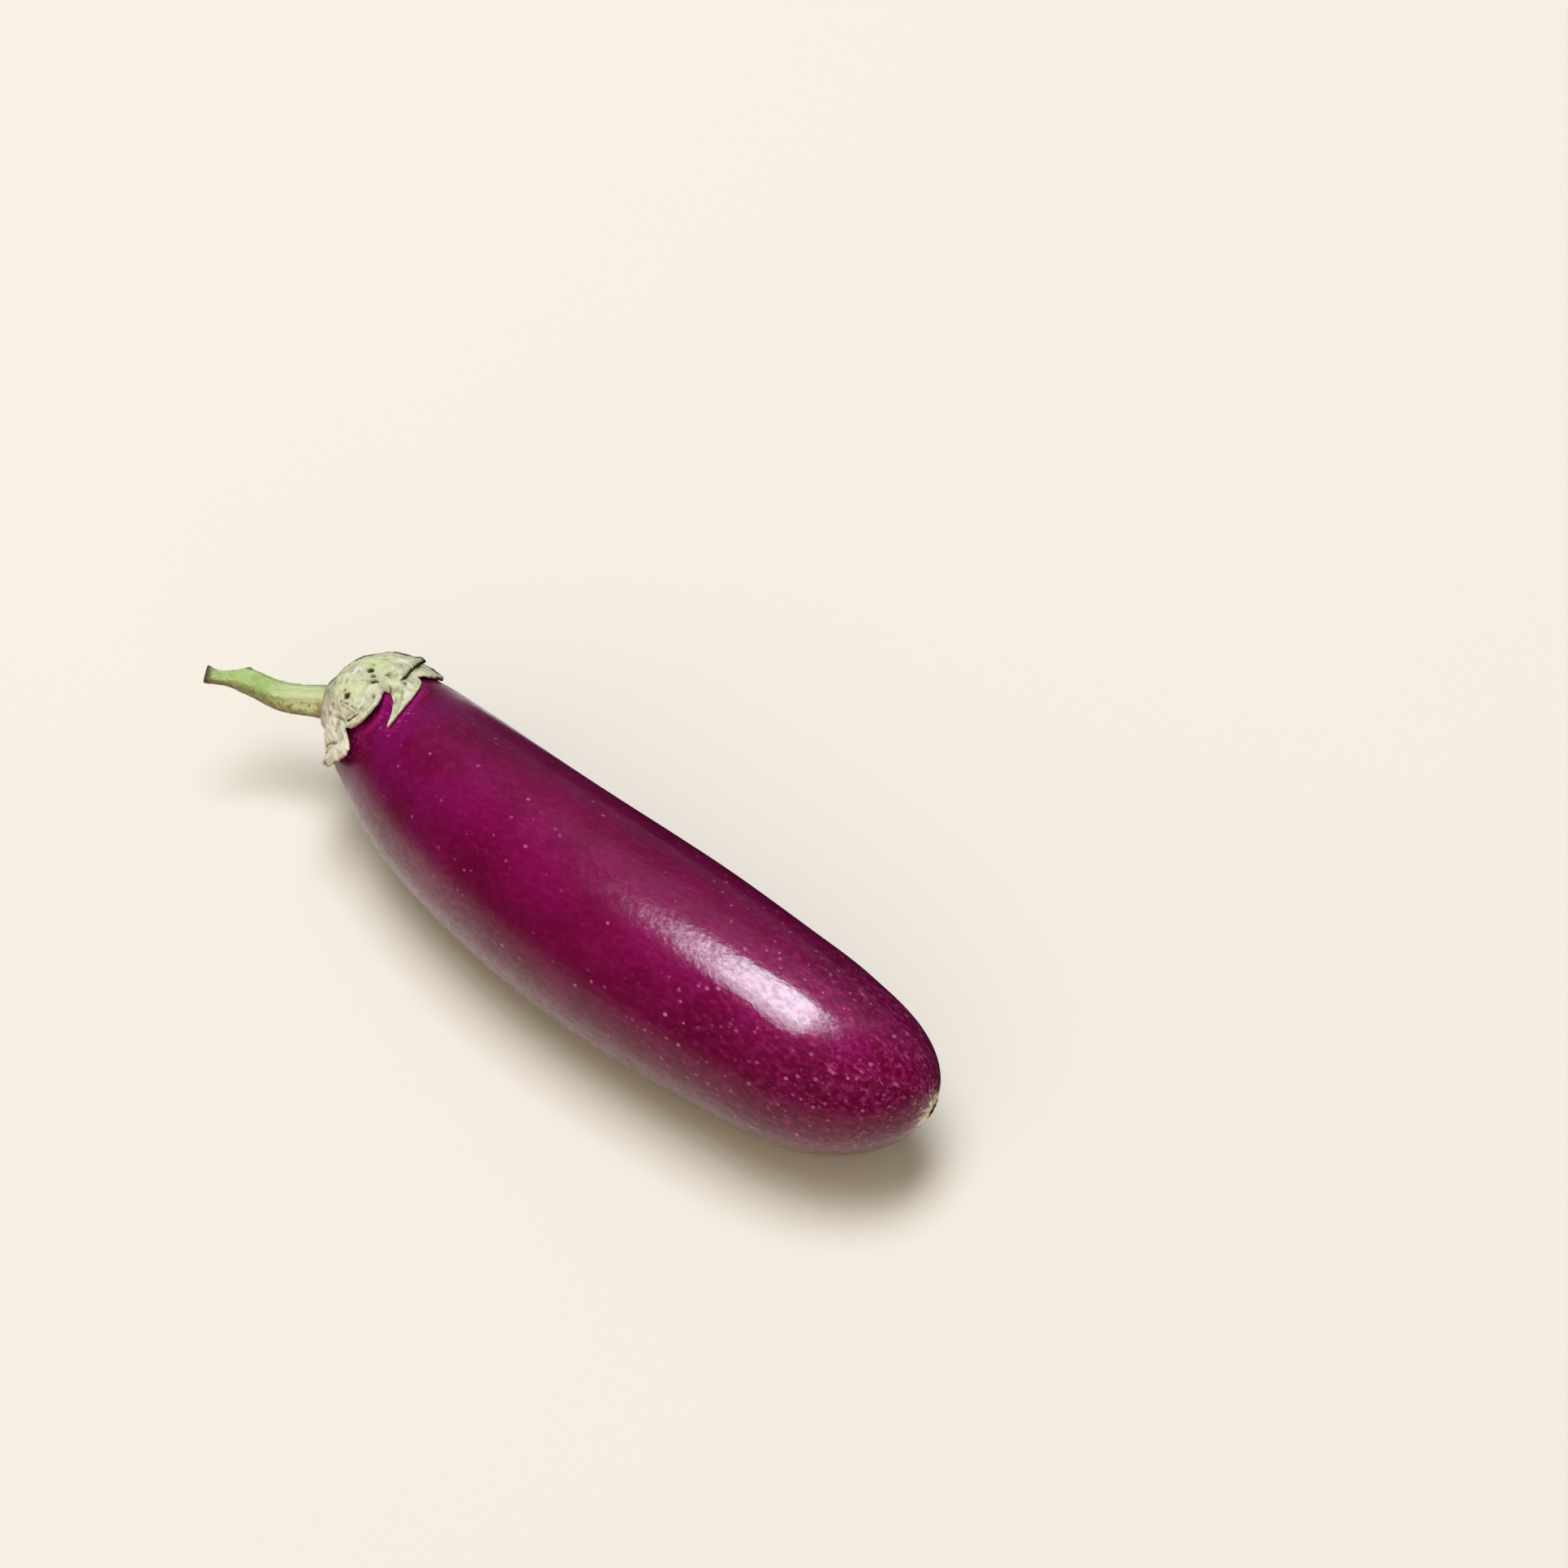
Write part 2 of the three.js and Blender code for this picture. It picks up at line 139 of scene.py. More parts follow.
def spline(points, station):
    """A uniform cubic spline through the end points, one unit of station between points."""
    points = np.asarray(points, float)
    last = len(points) - 1
    padded = np.vstack([2 * points[0] - points[1], points, 2 * points[-1] - points[-2]])
    station = np.asarray(station, float)
    i = np.clip(np.floor(station).astype(int), 0, last - 1)
    f = station - i
    weights = [(1 - f) ** 3 / 6, (3 * f**3 - 6 * f**2 + 4) / 6,
               (-3 * f**3 + 3 * f**2 + 3 * f + 1) / 6, f**3 / 6]
    return sum(w[..., None] * padded[i + k] for k, w in enumerate(weights))


def line_frame(points, station):
    """The place on a line, with the directions along it, to its side (level) and up across it."""
    step = 1e-3
    last = len(points) - 1
    ahead = spline(points, np.minimum(station + step, last))[..., :3]
    behind = spline(points, np.maximum(station - step, 0))[..., :3]
    along = unit(ahead - behind)
    side = unit(np.cross([0.0, 0.0, 1.0], along))
    return spline(points, station)[..., :3], along, side, np.cross(along, side)


# ---- The fruit's skin --------------------


def girth_at(station):
    """The fruit's radius, closing to nothing at the stem end and the blossom tip."""
    neck = np.clip(1 - station / SHOULDER_END, 0, 1)
    blossom = np.clip((station - BLOSSOM_START) / (LAST_STATION - BLOSSOM_START), 0, 1)
    closing = np.sqrt((1 - neck**SHOULDER_POWER) * (1 - blossom**BLOSSOM_POWER))
    return spline(FRUIT_LINE, station)[..., 3] * closing


def skin(station, angle):
    """Points and normals of the plain skin. Both arguments are arrays that broadcast."""
    station, angle = np.broadcast_arrays(np.asarray(station, float), np.asarray(angle, float))
    step = 1e-4
    ahead, behind = np.minimum(station + step, LAST_STATION), np.maximum(station - step, 0)
    run = np.linalg.norm((spline(FRUIT_LINE, ahead) - spline(FRUIT_LINE, behind))[..., :3], axis=-1)
    rise = girth_at(ahead) - girth_at(behind)
    centre, along, side, up = line_frame(FRUIT_LINE, station)
    outward = np.cos(angle)[..., None] * side + np.sin(angle)[..., None] * up
    normal = unit(outward * run[..., None] - along * rise[..., None])
    return centre + outward * girth_at(station)[..., None], normal


# How far along the skin each of many stations is from the stem end, to look reaches up in.
TABLE = LAST_STATION * (1 - np.cos(np.linspace(0, np.pi, 8000))) / 2
TABLE_RUNS = np.linalg.norm(np.diff(spline(FRUIT_LINE, TABLE)[:, :3], axis=0), axis=1)
REACHES = np.concatenate([[0], np.cumsum(np.hypot(TABLE_RUNS, np.diff(girth_at(TABLE))))])
FRUIT_REACH = REACHES[-1]


def above_skin(reach, angle, height):
    """A point `reach` along the skin from the stem end and `height` above it. Angle in degrees."""
    point, normal = skin(np.interp(reach, REACHES, TABLE), np.radians(angle))
    return point + normal * np.asarray(height)[..., None]


# ---- Meshes ------------------------------


def ring_mesh(name, first, rings, last, values=None):
    """A closed mesh of rings, each an array of points, between two end points. `values` are
    named numbers or vectors for every ring point, and the end points take their ring's mean."""
    rows, columns = rings.shape[:2]
    points = np.concatenate([[first], rings.reshape(-1, 3), [last]]) * MM
    row, column = np.meshgrid(np.arange(rows - 1), np.arange(columns), indexing="ij")
    beside = (column + 1) % columns
    quads = np.stack([1 + row * columns + column, 1 + row * columns + beside,
                      1 + (row + 1) * columns + beside, 1 + (row + 1) * columns + column], -1)
    around = np.arange(columns)
    start = np.stack([np.zeros(columns, int), 1 + (around + 1) % columns, 1 + around], -1)
    base = 1 + (rows - 1) * columns
    end = np.stack([base + around, base + (around + 1) % columns,
                    np.full(columns, len(points) - 1)], -1)
    mesh = bpy.data.meshes.new(name)
    faces = start.tolist() + quads.reshape(-1, 4).tolist() + end.tolist()
    mesh.from_pydata(points.tolist(), [], faces)
    mesh.shade_smooth()
    for key, value in (values or {}).items():
        wide = value.ndim == 3
        flat = value.reshape(rows * columns, -1)
        full = np.concatenate([flat[:columns].mean(0)[None], flat, flat[-columns:].mean(0)[None]])
        layer = mesh.attributes.new(key, "FLOAT_VECTOR" if wide else "FLOAT", "POINT")
        layer.data.foreach_set("vector" if wide else "value", full.astype(np.float32).ravel())
    piece = bpy.data.objects.new(name, mesh)
    bpy.context.scene.collection.objects.link(piece)
    return piece


def place(piece, node, material):
    """Stands the piece in for its CAD node, in the same place and on the same body."""
    piece.data.materials.append(material)
    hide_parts(node)
    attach(piece, "root")


# ---- Material nodes ----------------------


class Tree:
    """Short names for building a node tree. A value is a number, a colour or a socket."""

    def __init__(self, tree):
        self.tree = tree

    def add(self, kind, inputs=None, **settings):
        """A node of that kind. Its inputs go by name or number."""
        node = self.tree.nodes.new(kind)
        for key, value in settings.items():
            setattr(node, key, value)
        for key, value in (inputs or {}).items():
            self.plug(value, node.inputs[key])
        return node

    def plug(self, value, socket):
        if isinstance(value, bpy.types.NodeSocket):
            self.tree.links.new(value, socket)
        else:
            socket.default_value = value

    def attribute(self, name, output="Fac"):
        return self.add("ShaderNodeAttribute", attribute_name=name).outputs[output]

    def maths(self, operation, a, b=0.0):
        return self.add("ShaderNodeMath", {0: a, 1: b}, operation=operation).outputs[0]

    def times(self, a, b):
        return self.maths("MULTIPLY", a, b)

    def plus(self, a, b):
        return self.maths("ADD", a, b)

    def ramp(self, value, low, high, start=0.0, end=1.0, kind="SMOOTHSTEP"):
        """From `start` to `end` as the value goes from `low` to `high`."""
        inputs = {"Value": value, "From Min": low, "From Max": high, "To Min": start, "To Max": end}
        return self.add("ShaderNodeMapRange", inputs, interpolation_type=kind).outputs[0]

    def stretch(self, vector, x, y, z):
        return self.add("ShaderNodeVectorMath", {0: vector, 1: (x, y, z)},
                        operation="MULTIPLY").outputs[0]

    def noise(self, vector, scale, detail=2.0, roughness=0.5):
        node = self.add("ShaderNodeTexNoise", {"Vector": vector, "Scale": scale, "Detail": detail,
                                               "Roughness": roughness})
        return node.outputs["Fac"]

    def cells(self, vector, scale):
        node = self.add("ShaderNodeTexVoronoi", {"Vector": vector, "Scale": scale})
        return node.outputs["Distance"], node.outputs["Color"]

    def mix(self, factor, a, b):
        node = self.add("ShaderNodeMix", {"Factor": factor}, data_type="RGBA")
        for name, value in (("A", a), ("B", b)):
            is_socket = isinstance(value, bpy.types.NodeSocket)
            self.plug(value if is_socket else (*value, 1.0), node.inputs[name])
        return node.outputs["Result"]

    def bump(self, height, distance, normal=None):
        inputs = {"Height": height, "Distance": distance}
        if normal is not None:
            inputs["Normal"] = normal
        return self.add("ShaderNodeBump", inputs).outputs["Normal"]


class Nodes(Tree):
    """A new material, with short names for its shader's inputs."""

    def __init__(self, name):
        self.material = bpy.data.materials.new(name)
        self.material.use_nodes = True
        super().__init__(self.material.node_tree)
        self.shader = self.tree.nodes["Principled BSDF"]
        self.colour = (0.5, 0.5, 0.5)

    def paint(self, share, colour):
        """Lays that share of a colour over the ones painted before."""
        self.colour = self.mix(share, self.colour, colour)

    def set(self, **inputs):
        for key, value in inputs.items():
            self.plug(value, self.shader.inputs[key.replace("_", " ")])

    def metres(self):
        """The place on the piece."""
        return self.add("ShaderNodeTexCoord").outputs["Object"]

    def millimetres(self):
        return self.stretch(self.metres(), 1000, 1000, 1000)


def linear(r, g, b):
    """An 8-bit screen colour as linear light."""
    return tuple((c / 255 / 12.92) if c <= 10 else ((c / 255 + 0.055) / 1.055) ** 2.4
                 for c in (r, g, b))


def shown(r, g, b, facing=0.9):
    """The paint that shows as an 8-bit screen colour under the key light. `facing` is how
    squarely it faces the light, 0 to 1."""
    return tuple(min(value / (LIGHT_LEVEL * facing), 0.95) for value in linear(r, g, b))


# ---- Fruit -------------------------------

FRUIT_SIDES = 256
# Each kind of speck: its spacing in mm, the share of places that have one at the neck and at the
# blossom end, a shift of its pattern, and how pale it is.
SPECKS = [
    (2.3, 0.10, 0.40, 0.0, 0.75),
    (1.5, 0.05, 0.35, 31.7, 0.6),
    (3.6, 0.015, 0.45, 77.1, 0.85),
]


def fruit_distances():
    """How far each ring is from the blossom tip: close together round the scar, then wider."""
    fine, wide, scar_zone, growth = 0.13, 1.0, 8.0, 25.0
    distances = [fine]
    while distances[-1] < FRUIT_REACH - wide:
        widen = min(max((distances[-1] - scar_zone) / growth, 0), 1)
        distances.append(distances[-1] + fine + (wide - fine) * widen)
    return np.array(distances[::-1])


def round_the_scar(distance, angle):
    """Distance and direction from the scar, easing to those from the blossom tip further off."""
    x, y = distance * np.cos(angle), distance * np.sin(angle)
    pull = 1 - smooth(distance, 10, 45)
    scar = math.radians(SCAR_ANGLE)
    x, y = x - SCAR_DISTANCE * math.cos(scar) * pull, y - SCAR_DISTANCE * math.sin(scar) * pull
    return np.hypot(x, y), np.arctan2(y, x)


def scar_relief(off, turn):
    """The cupped pit with its lip, the shrunk style in its middle, and small pleats round it."""
    pit = 1.7 * (1 + 0.12 * np.cos(2 * turn + 0.6) + 0.05 * np.cos(5 * turn))
    cup = -1.25 * np.clip(1 - (off / pit) ** 4, 0, 1) ** 0.6
    style = 0.5 * np.exp(-((off / 0.42) ** 2))
    lip = 0.16 * bump(off, pit + 0.35, 0.5)
    pleats = 0.07 * np.cos(9 * turn + 1.5 * np.sin(2 * turn)) * bump(off, pit + 1.0, 1.3)
    return cup + style + lip + pleats


def make_fruit_mesh():
    """The fruit's skin, with its slow swell, the scar, the flat foot and what its paint needs."""
    noise = Noise(7)
    distance = fruit_distances()[:, None]
    angle = np.arange(FRUIT_SIDES)[None, :] * 2 * np.pi / FRUIT_SIDES
    reach = FRUIT_REACH - distance
    point, normal = skin(np.interp(reach, REACHES, TABLE), angle)
    off, turn = round_the_scar(distance, angle)

    open_skin = smooth(reach, 24, 45) * smooth(off, 3, 20)
    swell = 0.035 * noise(1.4 * np.cos(angle) + 5, 1.4 * np.sin(angle) + 5, reach / 24)
    flats = 0.012 * noise(4.5 * np.cos(angle) + 9, 4.5 * np.sin(angle) + 9, reach / 30)
    dents = 0.012 * noise(6 * np.cos(angle) + 13, 6 * np.sin(angle) + 13, reach / 6)
    height = (swell + flats + dents) * open_skin + scar_relief(off, turn)
    rings = point + normal * height[..., None]

    # Where it lies, the skin flattens on the floor with a soft edge.
    soft_edge = 0.4
    z = rings[..., 2]
    rings[..., 2] = (z + np.sqrt(z * z + soft_edge**2)) / 2

    # Painted shade: the skin is painted darker low on the two sides, and left lightest along the
    # top.
    from_top = np.abs((np.degrees(angle) - 100 + 180) % 360 - 180)
    painted_shade = smooth(from_top + 6 * noise(np.cos(angle) + 3, np.sin(angle) + 3, reach / 30), 14, 44)
    beyond = np.full(off.shape, 99.0)
    near = reach[:, 0] < 75
    for rim in calyx_outline():
        beyond[near] = np.minimum(beyond[near], np.linalg.norm(point[near] - rim, axis=-1))
    values = {
        "grain": np.stack([np.cos(turn), np.sin(turn), off / 26], -1),
        "from_scar": off,
        "from_calyx": beyond,
        "painted_shade": painted_shade,
    }
    stem_end = spline(FRUIT_LINE, 0.0)[:3]
    # The last ring closes on the tip itself, raised like the skin round it.
    tip = spline(FRUIT_LINE, float(LAST_STATION))[:3]
    lift = scar_relief(*round_the_scar(np.array(0.0), np.array(0.0)))
    tip = tip + line_frame(FRUIT_LINE, np.array(float(LAST_STATION)))[1] * lift
    return ring_mesh("fruit_skin", stem_end, rings, tip, values)


def fruit_dye(n, along_mm, patch, beyond, to_tip, painted_shade):
    """Deep purple, in slow patches, with a mottle that grows towards the blossom end."""
    n.colour = n.mix(n.ramp(patch, 0.36, 0.66), (0.075, 0.0002, 0.0172), (0.097, 0.0006, 0.0280))
    violet = n.times(n.ramp(beyond, 45, 5), n.ramp(patch, 0.42, 0.6))
    n.paint(n.times(violet, 0.6), (0.090, 0.0016, 0.045))
    mottle = n.noise(along_mm, 0.8, 3.0, 0.55)
    paler = n.times(n.ramp(mottle, 0.44, 0.78), n.ramp(to_tip, 0, 1, 0.3, 0.9))
    n.paint(paler, (0.158, 0.007, 0.064))
    deeper = n.times(n.ramp(mottle, 0.54, 0.28), n.ramp(to_tip, 0, 1, 0.15, 0.6))
    n.paint(deeper, (0.050, 0.0003, 0.011))
    # Painted shade: darker low on the two sides, away from the top.
    n.paint(n.times(painted_shade, 0.2), (0.0, 0.0, 0.0))


def blossom_marks(n, grain, along_mm, off):
    """Soft pink blotches in clumps, pale threads that run in to the scar, and tan flecks."""
    clump = n.noise(along_mm, 0.16, 3.0, 0.55)
    blotch = n.noise(along_mm, 0.95, 3.0, 0.5)
    here = n.times(n.ramp(clump, 0.44, 0.60, 0.3, 1.0), n.ramp(off, 60, 12))
    here = n.times(here, 0.55)
    n.paint(n.times(n.ramp(blotch, 0.50, 0.78), here), shown(214, 104, 158))
    thread = n.noise(n.stretch(grain, 30, 30, 5.5), 1.0, 5.0, 0.7)
    pale = n.times(n.ramp(thread, 0.54, 0.78), n.ramp(off, 22, 4, 0, 0.5))
    n.paint(pale, shown(190, 112, 144))
    tan = n.noise(n.stretch(grain, 13, 13, 8), 1.3, 2.0, 0.5)
    tan = n.times(n.ramp(tan, 0.66, 0.86), n.ramp(off, 60, 14, 0, 0.7))
    n.paint(tan, shown(212, 150, 140))


def specks(n, place_mm, to_tip):
    """Pin-head specks, sparse at the neck and closer and larger at the blossom end."""
    rough = n.noise(place_mm, 2.4, 2.0, 0.5)
    jitter = n.times(n.maths("SUBTRACT", rough, 0.5), 0.45)
    for size, few, many, shift, strength in SPECKS:
        moved = n.add("ShaderNodeVectorMath", {0: n.stretch(place_mm, 0.8, 1, 1),
                                               1: (shift, shift, shift)}, operation="ADD")
        away, tint = n.cells(moved.outputs[0], 1 / size)
        away = n.plus(n.times(away, size), jitter)
        split = n.add("ShaderNodeSeparateColor", {"Color": tint}).outputs
        here = n.maths("LESS_THAN", split["Red"], n.ramp(to_tip, 0, 1, few, many, "LINEAR"))
        radius = n.ramp(split["Green"], 0, 1, 0.28, 0.70, "LINEAR")
        dot = n.ramp(away, radius, 0.0, 0, 1)
        glow = n.ramp(split["Blue"], 0, 1, 0.15 * strength, strength, "LINEAR")
        dot = n.times(n.times(dot, here), glow)
        n.paint(dot, shown(228, 142, 184))


def fresh_skin(n, place_mm, patch, beyond, painted_shade):
    """By the calyx the skin has hardly been in the light: pink flecks, and a clear magenta."""
    fleck = n.noise(place_mm, 1.1, 3.0, 0.7)
    fleck = n.times(n.ramp(fleck, 0.58, 0.70), n.ramp(beyond, 5.0, 0.5, 0, 0.8))
    n.paint(fleck, shown(206, 84, 158))
    fresh = n.plus(beyond, n.times(patch, 4.0))
    fresh = n.times(n.ramp(fresh, 4.4, 1.6, 0, 0.8), n.ramp(painted_shade, 0.55, 1.0, 1.0, 0.05))
    n.paint(fresh, (0.215, 0.0070, 0.092))


def scar_paint(n, grain, place_mm, off):
    """A cream halo with rays and pale freckles, and the brown pit with its dry style."""
    freckle = n.noise(place_mm, 1.3, 4.0, 0.7)
    ray = n.noise(n.stretch(grain, 2.6, 2.6, 6), 1.0, 3.0, 0.65)
    reach = n.ramp(ray, 0.36, 0.66, 5.0, 13.0, "LINEAR")
    freckled = n.times(n.ramp(n.maths("DIVIDE", off, reach), 1.0, 0.45, 0, 0.8),
                       n.ramp(freckle, 0.46, 0.64))
    n.paint(freckled, shown(216, 168, 178, 0.7))
    edge = n.plus(n.ramp(ray, 0.36, 0.66, 3.1, 5.6), n.ramp(freckle, 0.3, 0.7, -0.9, 0.7))
    halo = n.ramp(n.maths("SUBTRACT", off, edge), 2.2, -1.6, 0, 0.9)
    n.paint(halo, shown(228, 218, 190, 0.6))
    n.paint(n.ramp(off, 3.4, 2.3, 0, 0.5), shown(196, 190, 118, 0.5))
    worn = n.plus(off, n.ramp(freckle, 0.35, 0.65, -0.3, 0.3))
    n.paint(n.ramp(worn, 2.8, 2.2, 0, 0.6), shown(150, 124, 78, 0.6))
    n.paint(n.ramp(worn, 2.3, 1.6, 0, 1), shown(44, 34, 16, 0.6))
    n.paint(n.ramp(off, 0.42, 0.25, 0, 0.8), shown(140, 122, 84, 0.6))


def skin_shine(n, place_mm, along_mm, off, beyond):
    """Under a clear cuticle the dyed skin has a wide, coloured shine of its own."""
    smear = n.noise(along_mm, 0.3, 4.0, 0.6)
    n.set(Roughness=n.ramp(smear, 0.3, 0.7, 0.36, 0.48))
    n.set(IOR=1.5, Coat_IOR=1.5)
    n.set(Specular_IOR_Level=0.15, Specular_Tint=(1.0, 0.05, 0.50, 1.0))
    ripple = n.noise(n.stretch(place_mm, 0.5, 1, 1), 0.45, 2.0, 0.5)
    pebble = n.noise(n.stretch(place_mm, 0.6, 1, 1), 0.9, 2.5, 0.5)
    normal = n.bump(pebble, 0.000036, normal=n.bump(ripple, 0.00004))
    n.set(Normal=normal, Coat_Normal=normal)
    cuticle = n.times(n.ramp(off, 2.0, 5.0, 0.2, 1.0), n.ramp(beyond, 0.5, 10, 0.35, 1.0))
    n.set(Coat_Weight=n.times(cuticle, n.ramp(pebble, 0.32, 0.62, 0.68, 1.0)))
    n.set(Coat_Roughness=n.plus(n.ramp(beyond, 4, 60, 0.18, 0.115),
                                 n.ramp(smear, 0.3, 0.7, 0.0, 0.04)))


def fruit_material():
    n = Nodes("fruit_skin")
    grain = n.attribute("grain", "Vector")
    place_mm = n.millimetres()
    along_mm = n.stretch(place_mm, 0.55, 1, 1)
    off, beyond, painted_shade = (n.attribute(name) for name in ("from_scar", "from_calyx", "painted_shade"))
    to_tip = n.ramp(off, 110, 6, 0, 1)
    patch = n.noise(place_mm, 0.07, 3.0)
    fruit_dye(n, along_mm, patch, beyond, to_tip, painted_shade)
    blossom_marks(n, grain, along_mm, off)
    specks(n, place_mm, to_tip)
    fresh_skin(n, place_mm, patch, beyond, painted_shade)
    scar_paint(n, grain, place_mm, off)
    n.set(Base_Color=n.colour)
    skin_shine(n, place_mm, along_mm, off, beyond)
    return n.material


# ---- Calyx -------------------------------

CALYX_COLUMNS = 620
CALYX_ROWS = 96
CALYX_INNER_ROWS = 30
CROWN_INNER_ROWS = 6

# How high over the skin the blade's marks are placed.
BLADE_HEIGHT, CREASE_HEIGHT = 2.4, 2.2
# The puffed side of the blade: how high, which way and how far from the stem.
SWELL = {"height": 1.1, "angle": 75, "reach": 18, "width": 10, "hollow": 0.25}
# The fold on the upper side, as (angle, reach) along it.
FOLD_PATH = np.array([[25, 21.9], [38, 22.9], [43, 23.3], [57.5, 24.8], [66.5, 25.7], [74.5, 26.7],
                      [86, 28.2]])
# Creases as (reach, angle) along each, then their depth, half width and how dark they are painted:
# partly brown, partly painted shade in the groove.
CREASES = [
    ([(25.2, 130), (26.3, 127.5), (27.5, 123.5), (28.6, 120.5)], 0.55, 0.30, 0.85),
    ([(28.8, 119.5), (29.2, 115), (29.4, 109), (29.6, 104), (29.6, 100)], 0.25, 0.45, 0.2),
    ([(18.2, 122), (20.6, 121), (23.5, 120), (26.1, 119)], 0.25, 0.28, 0.5),
    ([(19.5, 124.5), (22.3, 123.5), (24.9, 123.2), (26.6, 122.5)], 0.25, 0.28, 0.4),
    ([(25.8, 73), (27.8, 79.5), (30.9, 86.5), (33.1, 92), (34.6, 96.5), (36.4, 102)],
     0.30, 0.32, 0.35),
    ([(27.2, 89.3), (28.1, 91), (28.8, 92.6)], 0.60, 0.30, 0.6),
    ([(18.5, 168), (21.1, 159), (23.5, 154), (25.6, 150.5)], 0.55, 0.42, 0.45),
    ([(13.0, 140), (15.8, 137), (19.8, 134.5), (23.5, 132.5)], 0.30, 0.55, 0.35),
    ([(17.0, 62), (20.5, 58), (22.8, 56)], 0.25, 0.4, 0.25),
    ([(16.0, 103), (21.0, 101), (26.0, 100)], 0.15, 0.4, 0.15),
    ([(14.5, 112), (18.0, 111), (23.0, 110.5), (27.5, 109)], 0.15, 0.35, 0.1),
    ([(16.0, 250), (24.0, 253), (29.0, 256)], 0.30, 0.4, 0.3),
    ([(16.0, 310), (25.0, 313), (32.0, 315)], 0.30, 0.4, 0.3),
]
# Brown pits as (reach, angle, radius, how dark).
PITS = [
    (20.0, 87, 0.72, 1.0), (21.6, 90.5, 0.5, 0.5), (23.1, 94, 0.68, 0.95),
    (19.5, 115.5, 0.78, 1.0), (17.6, 112.5, 0.60, 0.45), (27.8, 104.5, 0.55, 0.5),
    (28.7, 79.5, 0.45, 0.6),
    (23.2, 166, 0.45, 0.5), (25.9, 166.5, 0.4, 0.45), (13.0, 66, 0.5, 0.5),
    (21.5, 250, 0.6, 0.9), (17.0, 300, 0.6, 0.8), (25.0, 318, 0.5, 0.8), (20.0, 20, 0.5, 0.8),
]
# Colours of the blade in patches, each as (reach, angle, radius, share).
BROWN = [
    (24.2, 82.5, 1.3, 0.6), (28.4, 91, 0.6, 0.5), (26.9, 104, 0.9, 0.5), (12.7, 76.5, 0.8, 0.5),
    (16.6, 138.5, 1.2, 0.4), (25.2, 56.5, 2.2, 0.45), (23.6, 40, 1.4, 0.5), (12.2, 186, 3.0, 0.6),
    (22.5, 167, 1.8, 0.4), (26.0, 167, 1.0, 0.6), (21.6, 90.5, 0.9, 0.6), (27.0, 68, 1.2, 0.3),
]
LEAFY = [
    (16.9, 76, 2.0, 0.8), (18.0, 70, 1.9, 1.0), (20.9, 71, 2.0, 1.0), (22.0, 66.5, 1.2, 0.9),
    (17.5, 99.5, 1.6, 0.4), (17.1, 108.5, 1.5, 1.0), (20.9, 110.5, 1.8, 0.8), (19.7, 82, 1.5, 0.9),
    (21.5, 101, 2.2, 0.55), (12.4, 97.5, 1.2, 0.9), (28.4, 84, 1.3, 0.6), (30.7, 91.5, 1.1, 0.6),
    (24.0, 146, 1.6, 0.35), (15.0, 112, 1.4, 0.7),
]
PALE = [
    (16.9, 90, 1.3, 1.0), (15.4, 99, 1.3, 1.0), (22.7, 63.5, 1.2, 0.8), (23.4, 58.5, 1.1, 0.9),
    (24.8, 101, 1.4, 0.6), (28.1, 98.5, 1.6, 0.6), (25.5, 110, 1.5, 0.5), (30.4, 106, 0.8, 1.0),
    (28.6, 125.5, 1.0, 1.0), (29.8, 78.5, 1.3, 0.8), (32.3, 85, 1.1, 1.0), (34.4, 91.5, 0.9, 0.9),
    (25.0, 152, 1.4, 0.8), (29.4, 146, 1.4, 0.9), (25.2, 160, 1.1, 0.9), (25.2, 137, 1.2, 0.6),
]
ROSY = [
    (21.8, 129.5, 1.5, 0.8), (16.0, 131, 1.4, 0.7), (25.2, 86, 1.2, 0.7), (27.9, 94.5, 1.2, 0.5),
    (33.3, 99, 0.8, 0.8), (18.5, 126, 1.5, 0.5), (28.6, 150, 2.0, 0.5), (22.0, 158, 1.4, 0.5),
]
# How far the blade's edge rolls up, and how ragged it is, lobe by lobe.
ROLL = np.array([0.1, 0.08, 0.2, 0.15, 0.15, 0.15])
RAGGED = np.array([0.35, 0.25, 0.35, 0.65, 0.55, 0.55])
# The outline of the cap from above, as (reach, angle): beyond it the blade is painted brown, a
# painted shade for the dark edge along the outline.
OUTLINE_SHADE = np.array([[8, 88], [11, 76], [14, 66], [17, 54], [20, 44], [24, 40], [30, 42]])


def lobe_at(angle):
    """Which lobe a direction belongs to, how far its edge reaches, and how far into it it is."""
    angle = np.asarray(angle, float)
    which = np.zeros(angle.shape, int)
    edge = np.full(angle.shape, -1.0)
    inside = np.zeros(angle.shape)
    for k, (at, before, after, tip, side, power, *_) in enumerate(LOBES):
        turn = (angle - at + 180) % 360 - 180
        into = 1 - (np.abs(turn) / np.where(turn < 0, before, after)) ** power
        here = side + (tip - side) * into
        better = here > edge
        which, edge = np.where(better, k, which), np.where(better, here, edge)
        inside = np.where(better, np.maximum(into, 0), inside)
    return which, edge, inside


def calyx_outline():
    """Points along the calyx's plain edge, laid on the skin."""
    column = column_angles()
    which, edge, inside = lobe_at(column)
    lean = np.array([lobe[6] for lobe in LOBES])[which]
    return above_skin(edge, column + lean * inside**LEAN_POWER, np.zeros(len(column)))


def column_angles():
    """Directions spaced evenly along the calyx's edge, so that every lobe is well drawn."""
    fine = np.linspace(0, 360, 7201)
    edge = lobe_at(fine)[1]
    across = girth_at(1.0) * np.radians(np.diff(fine))
    length = np.concatenate([[0], np.cumsum(np.hypot(across, np.diff(edge)))])
    return np.interp(np.arange(CALYX_COLUMNS) / CALYX_COLUMNS * length[-1], length, fine)


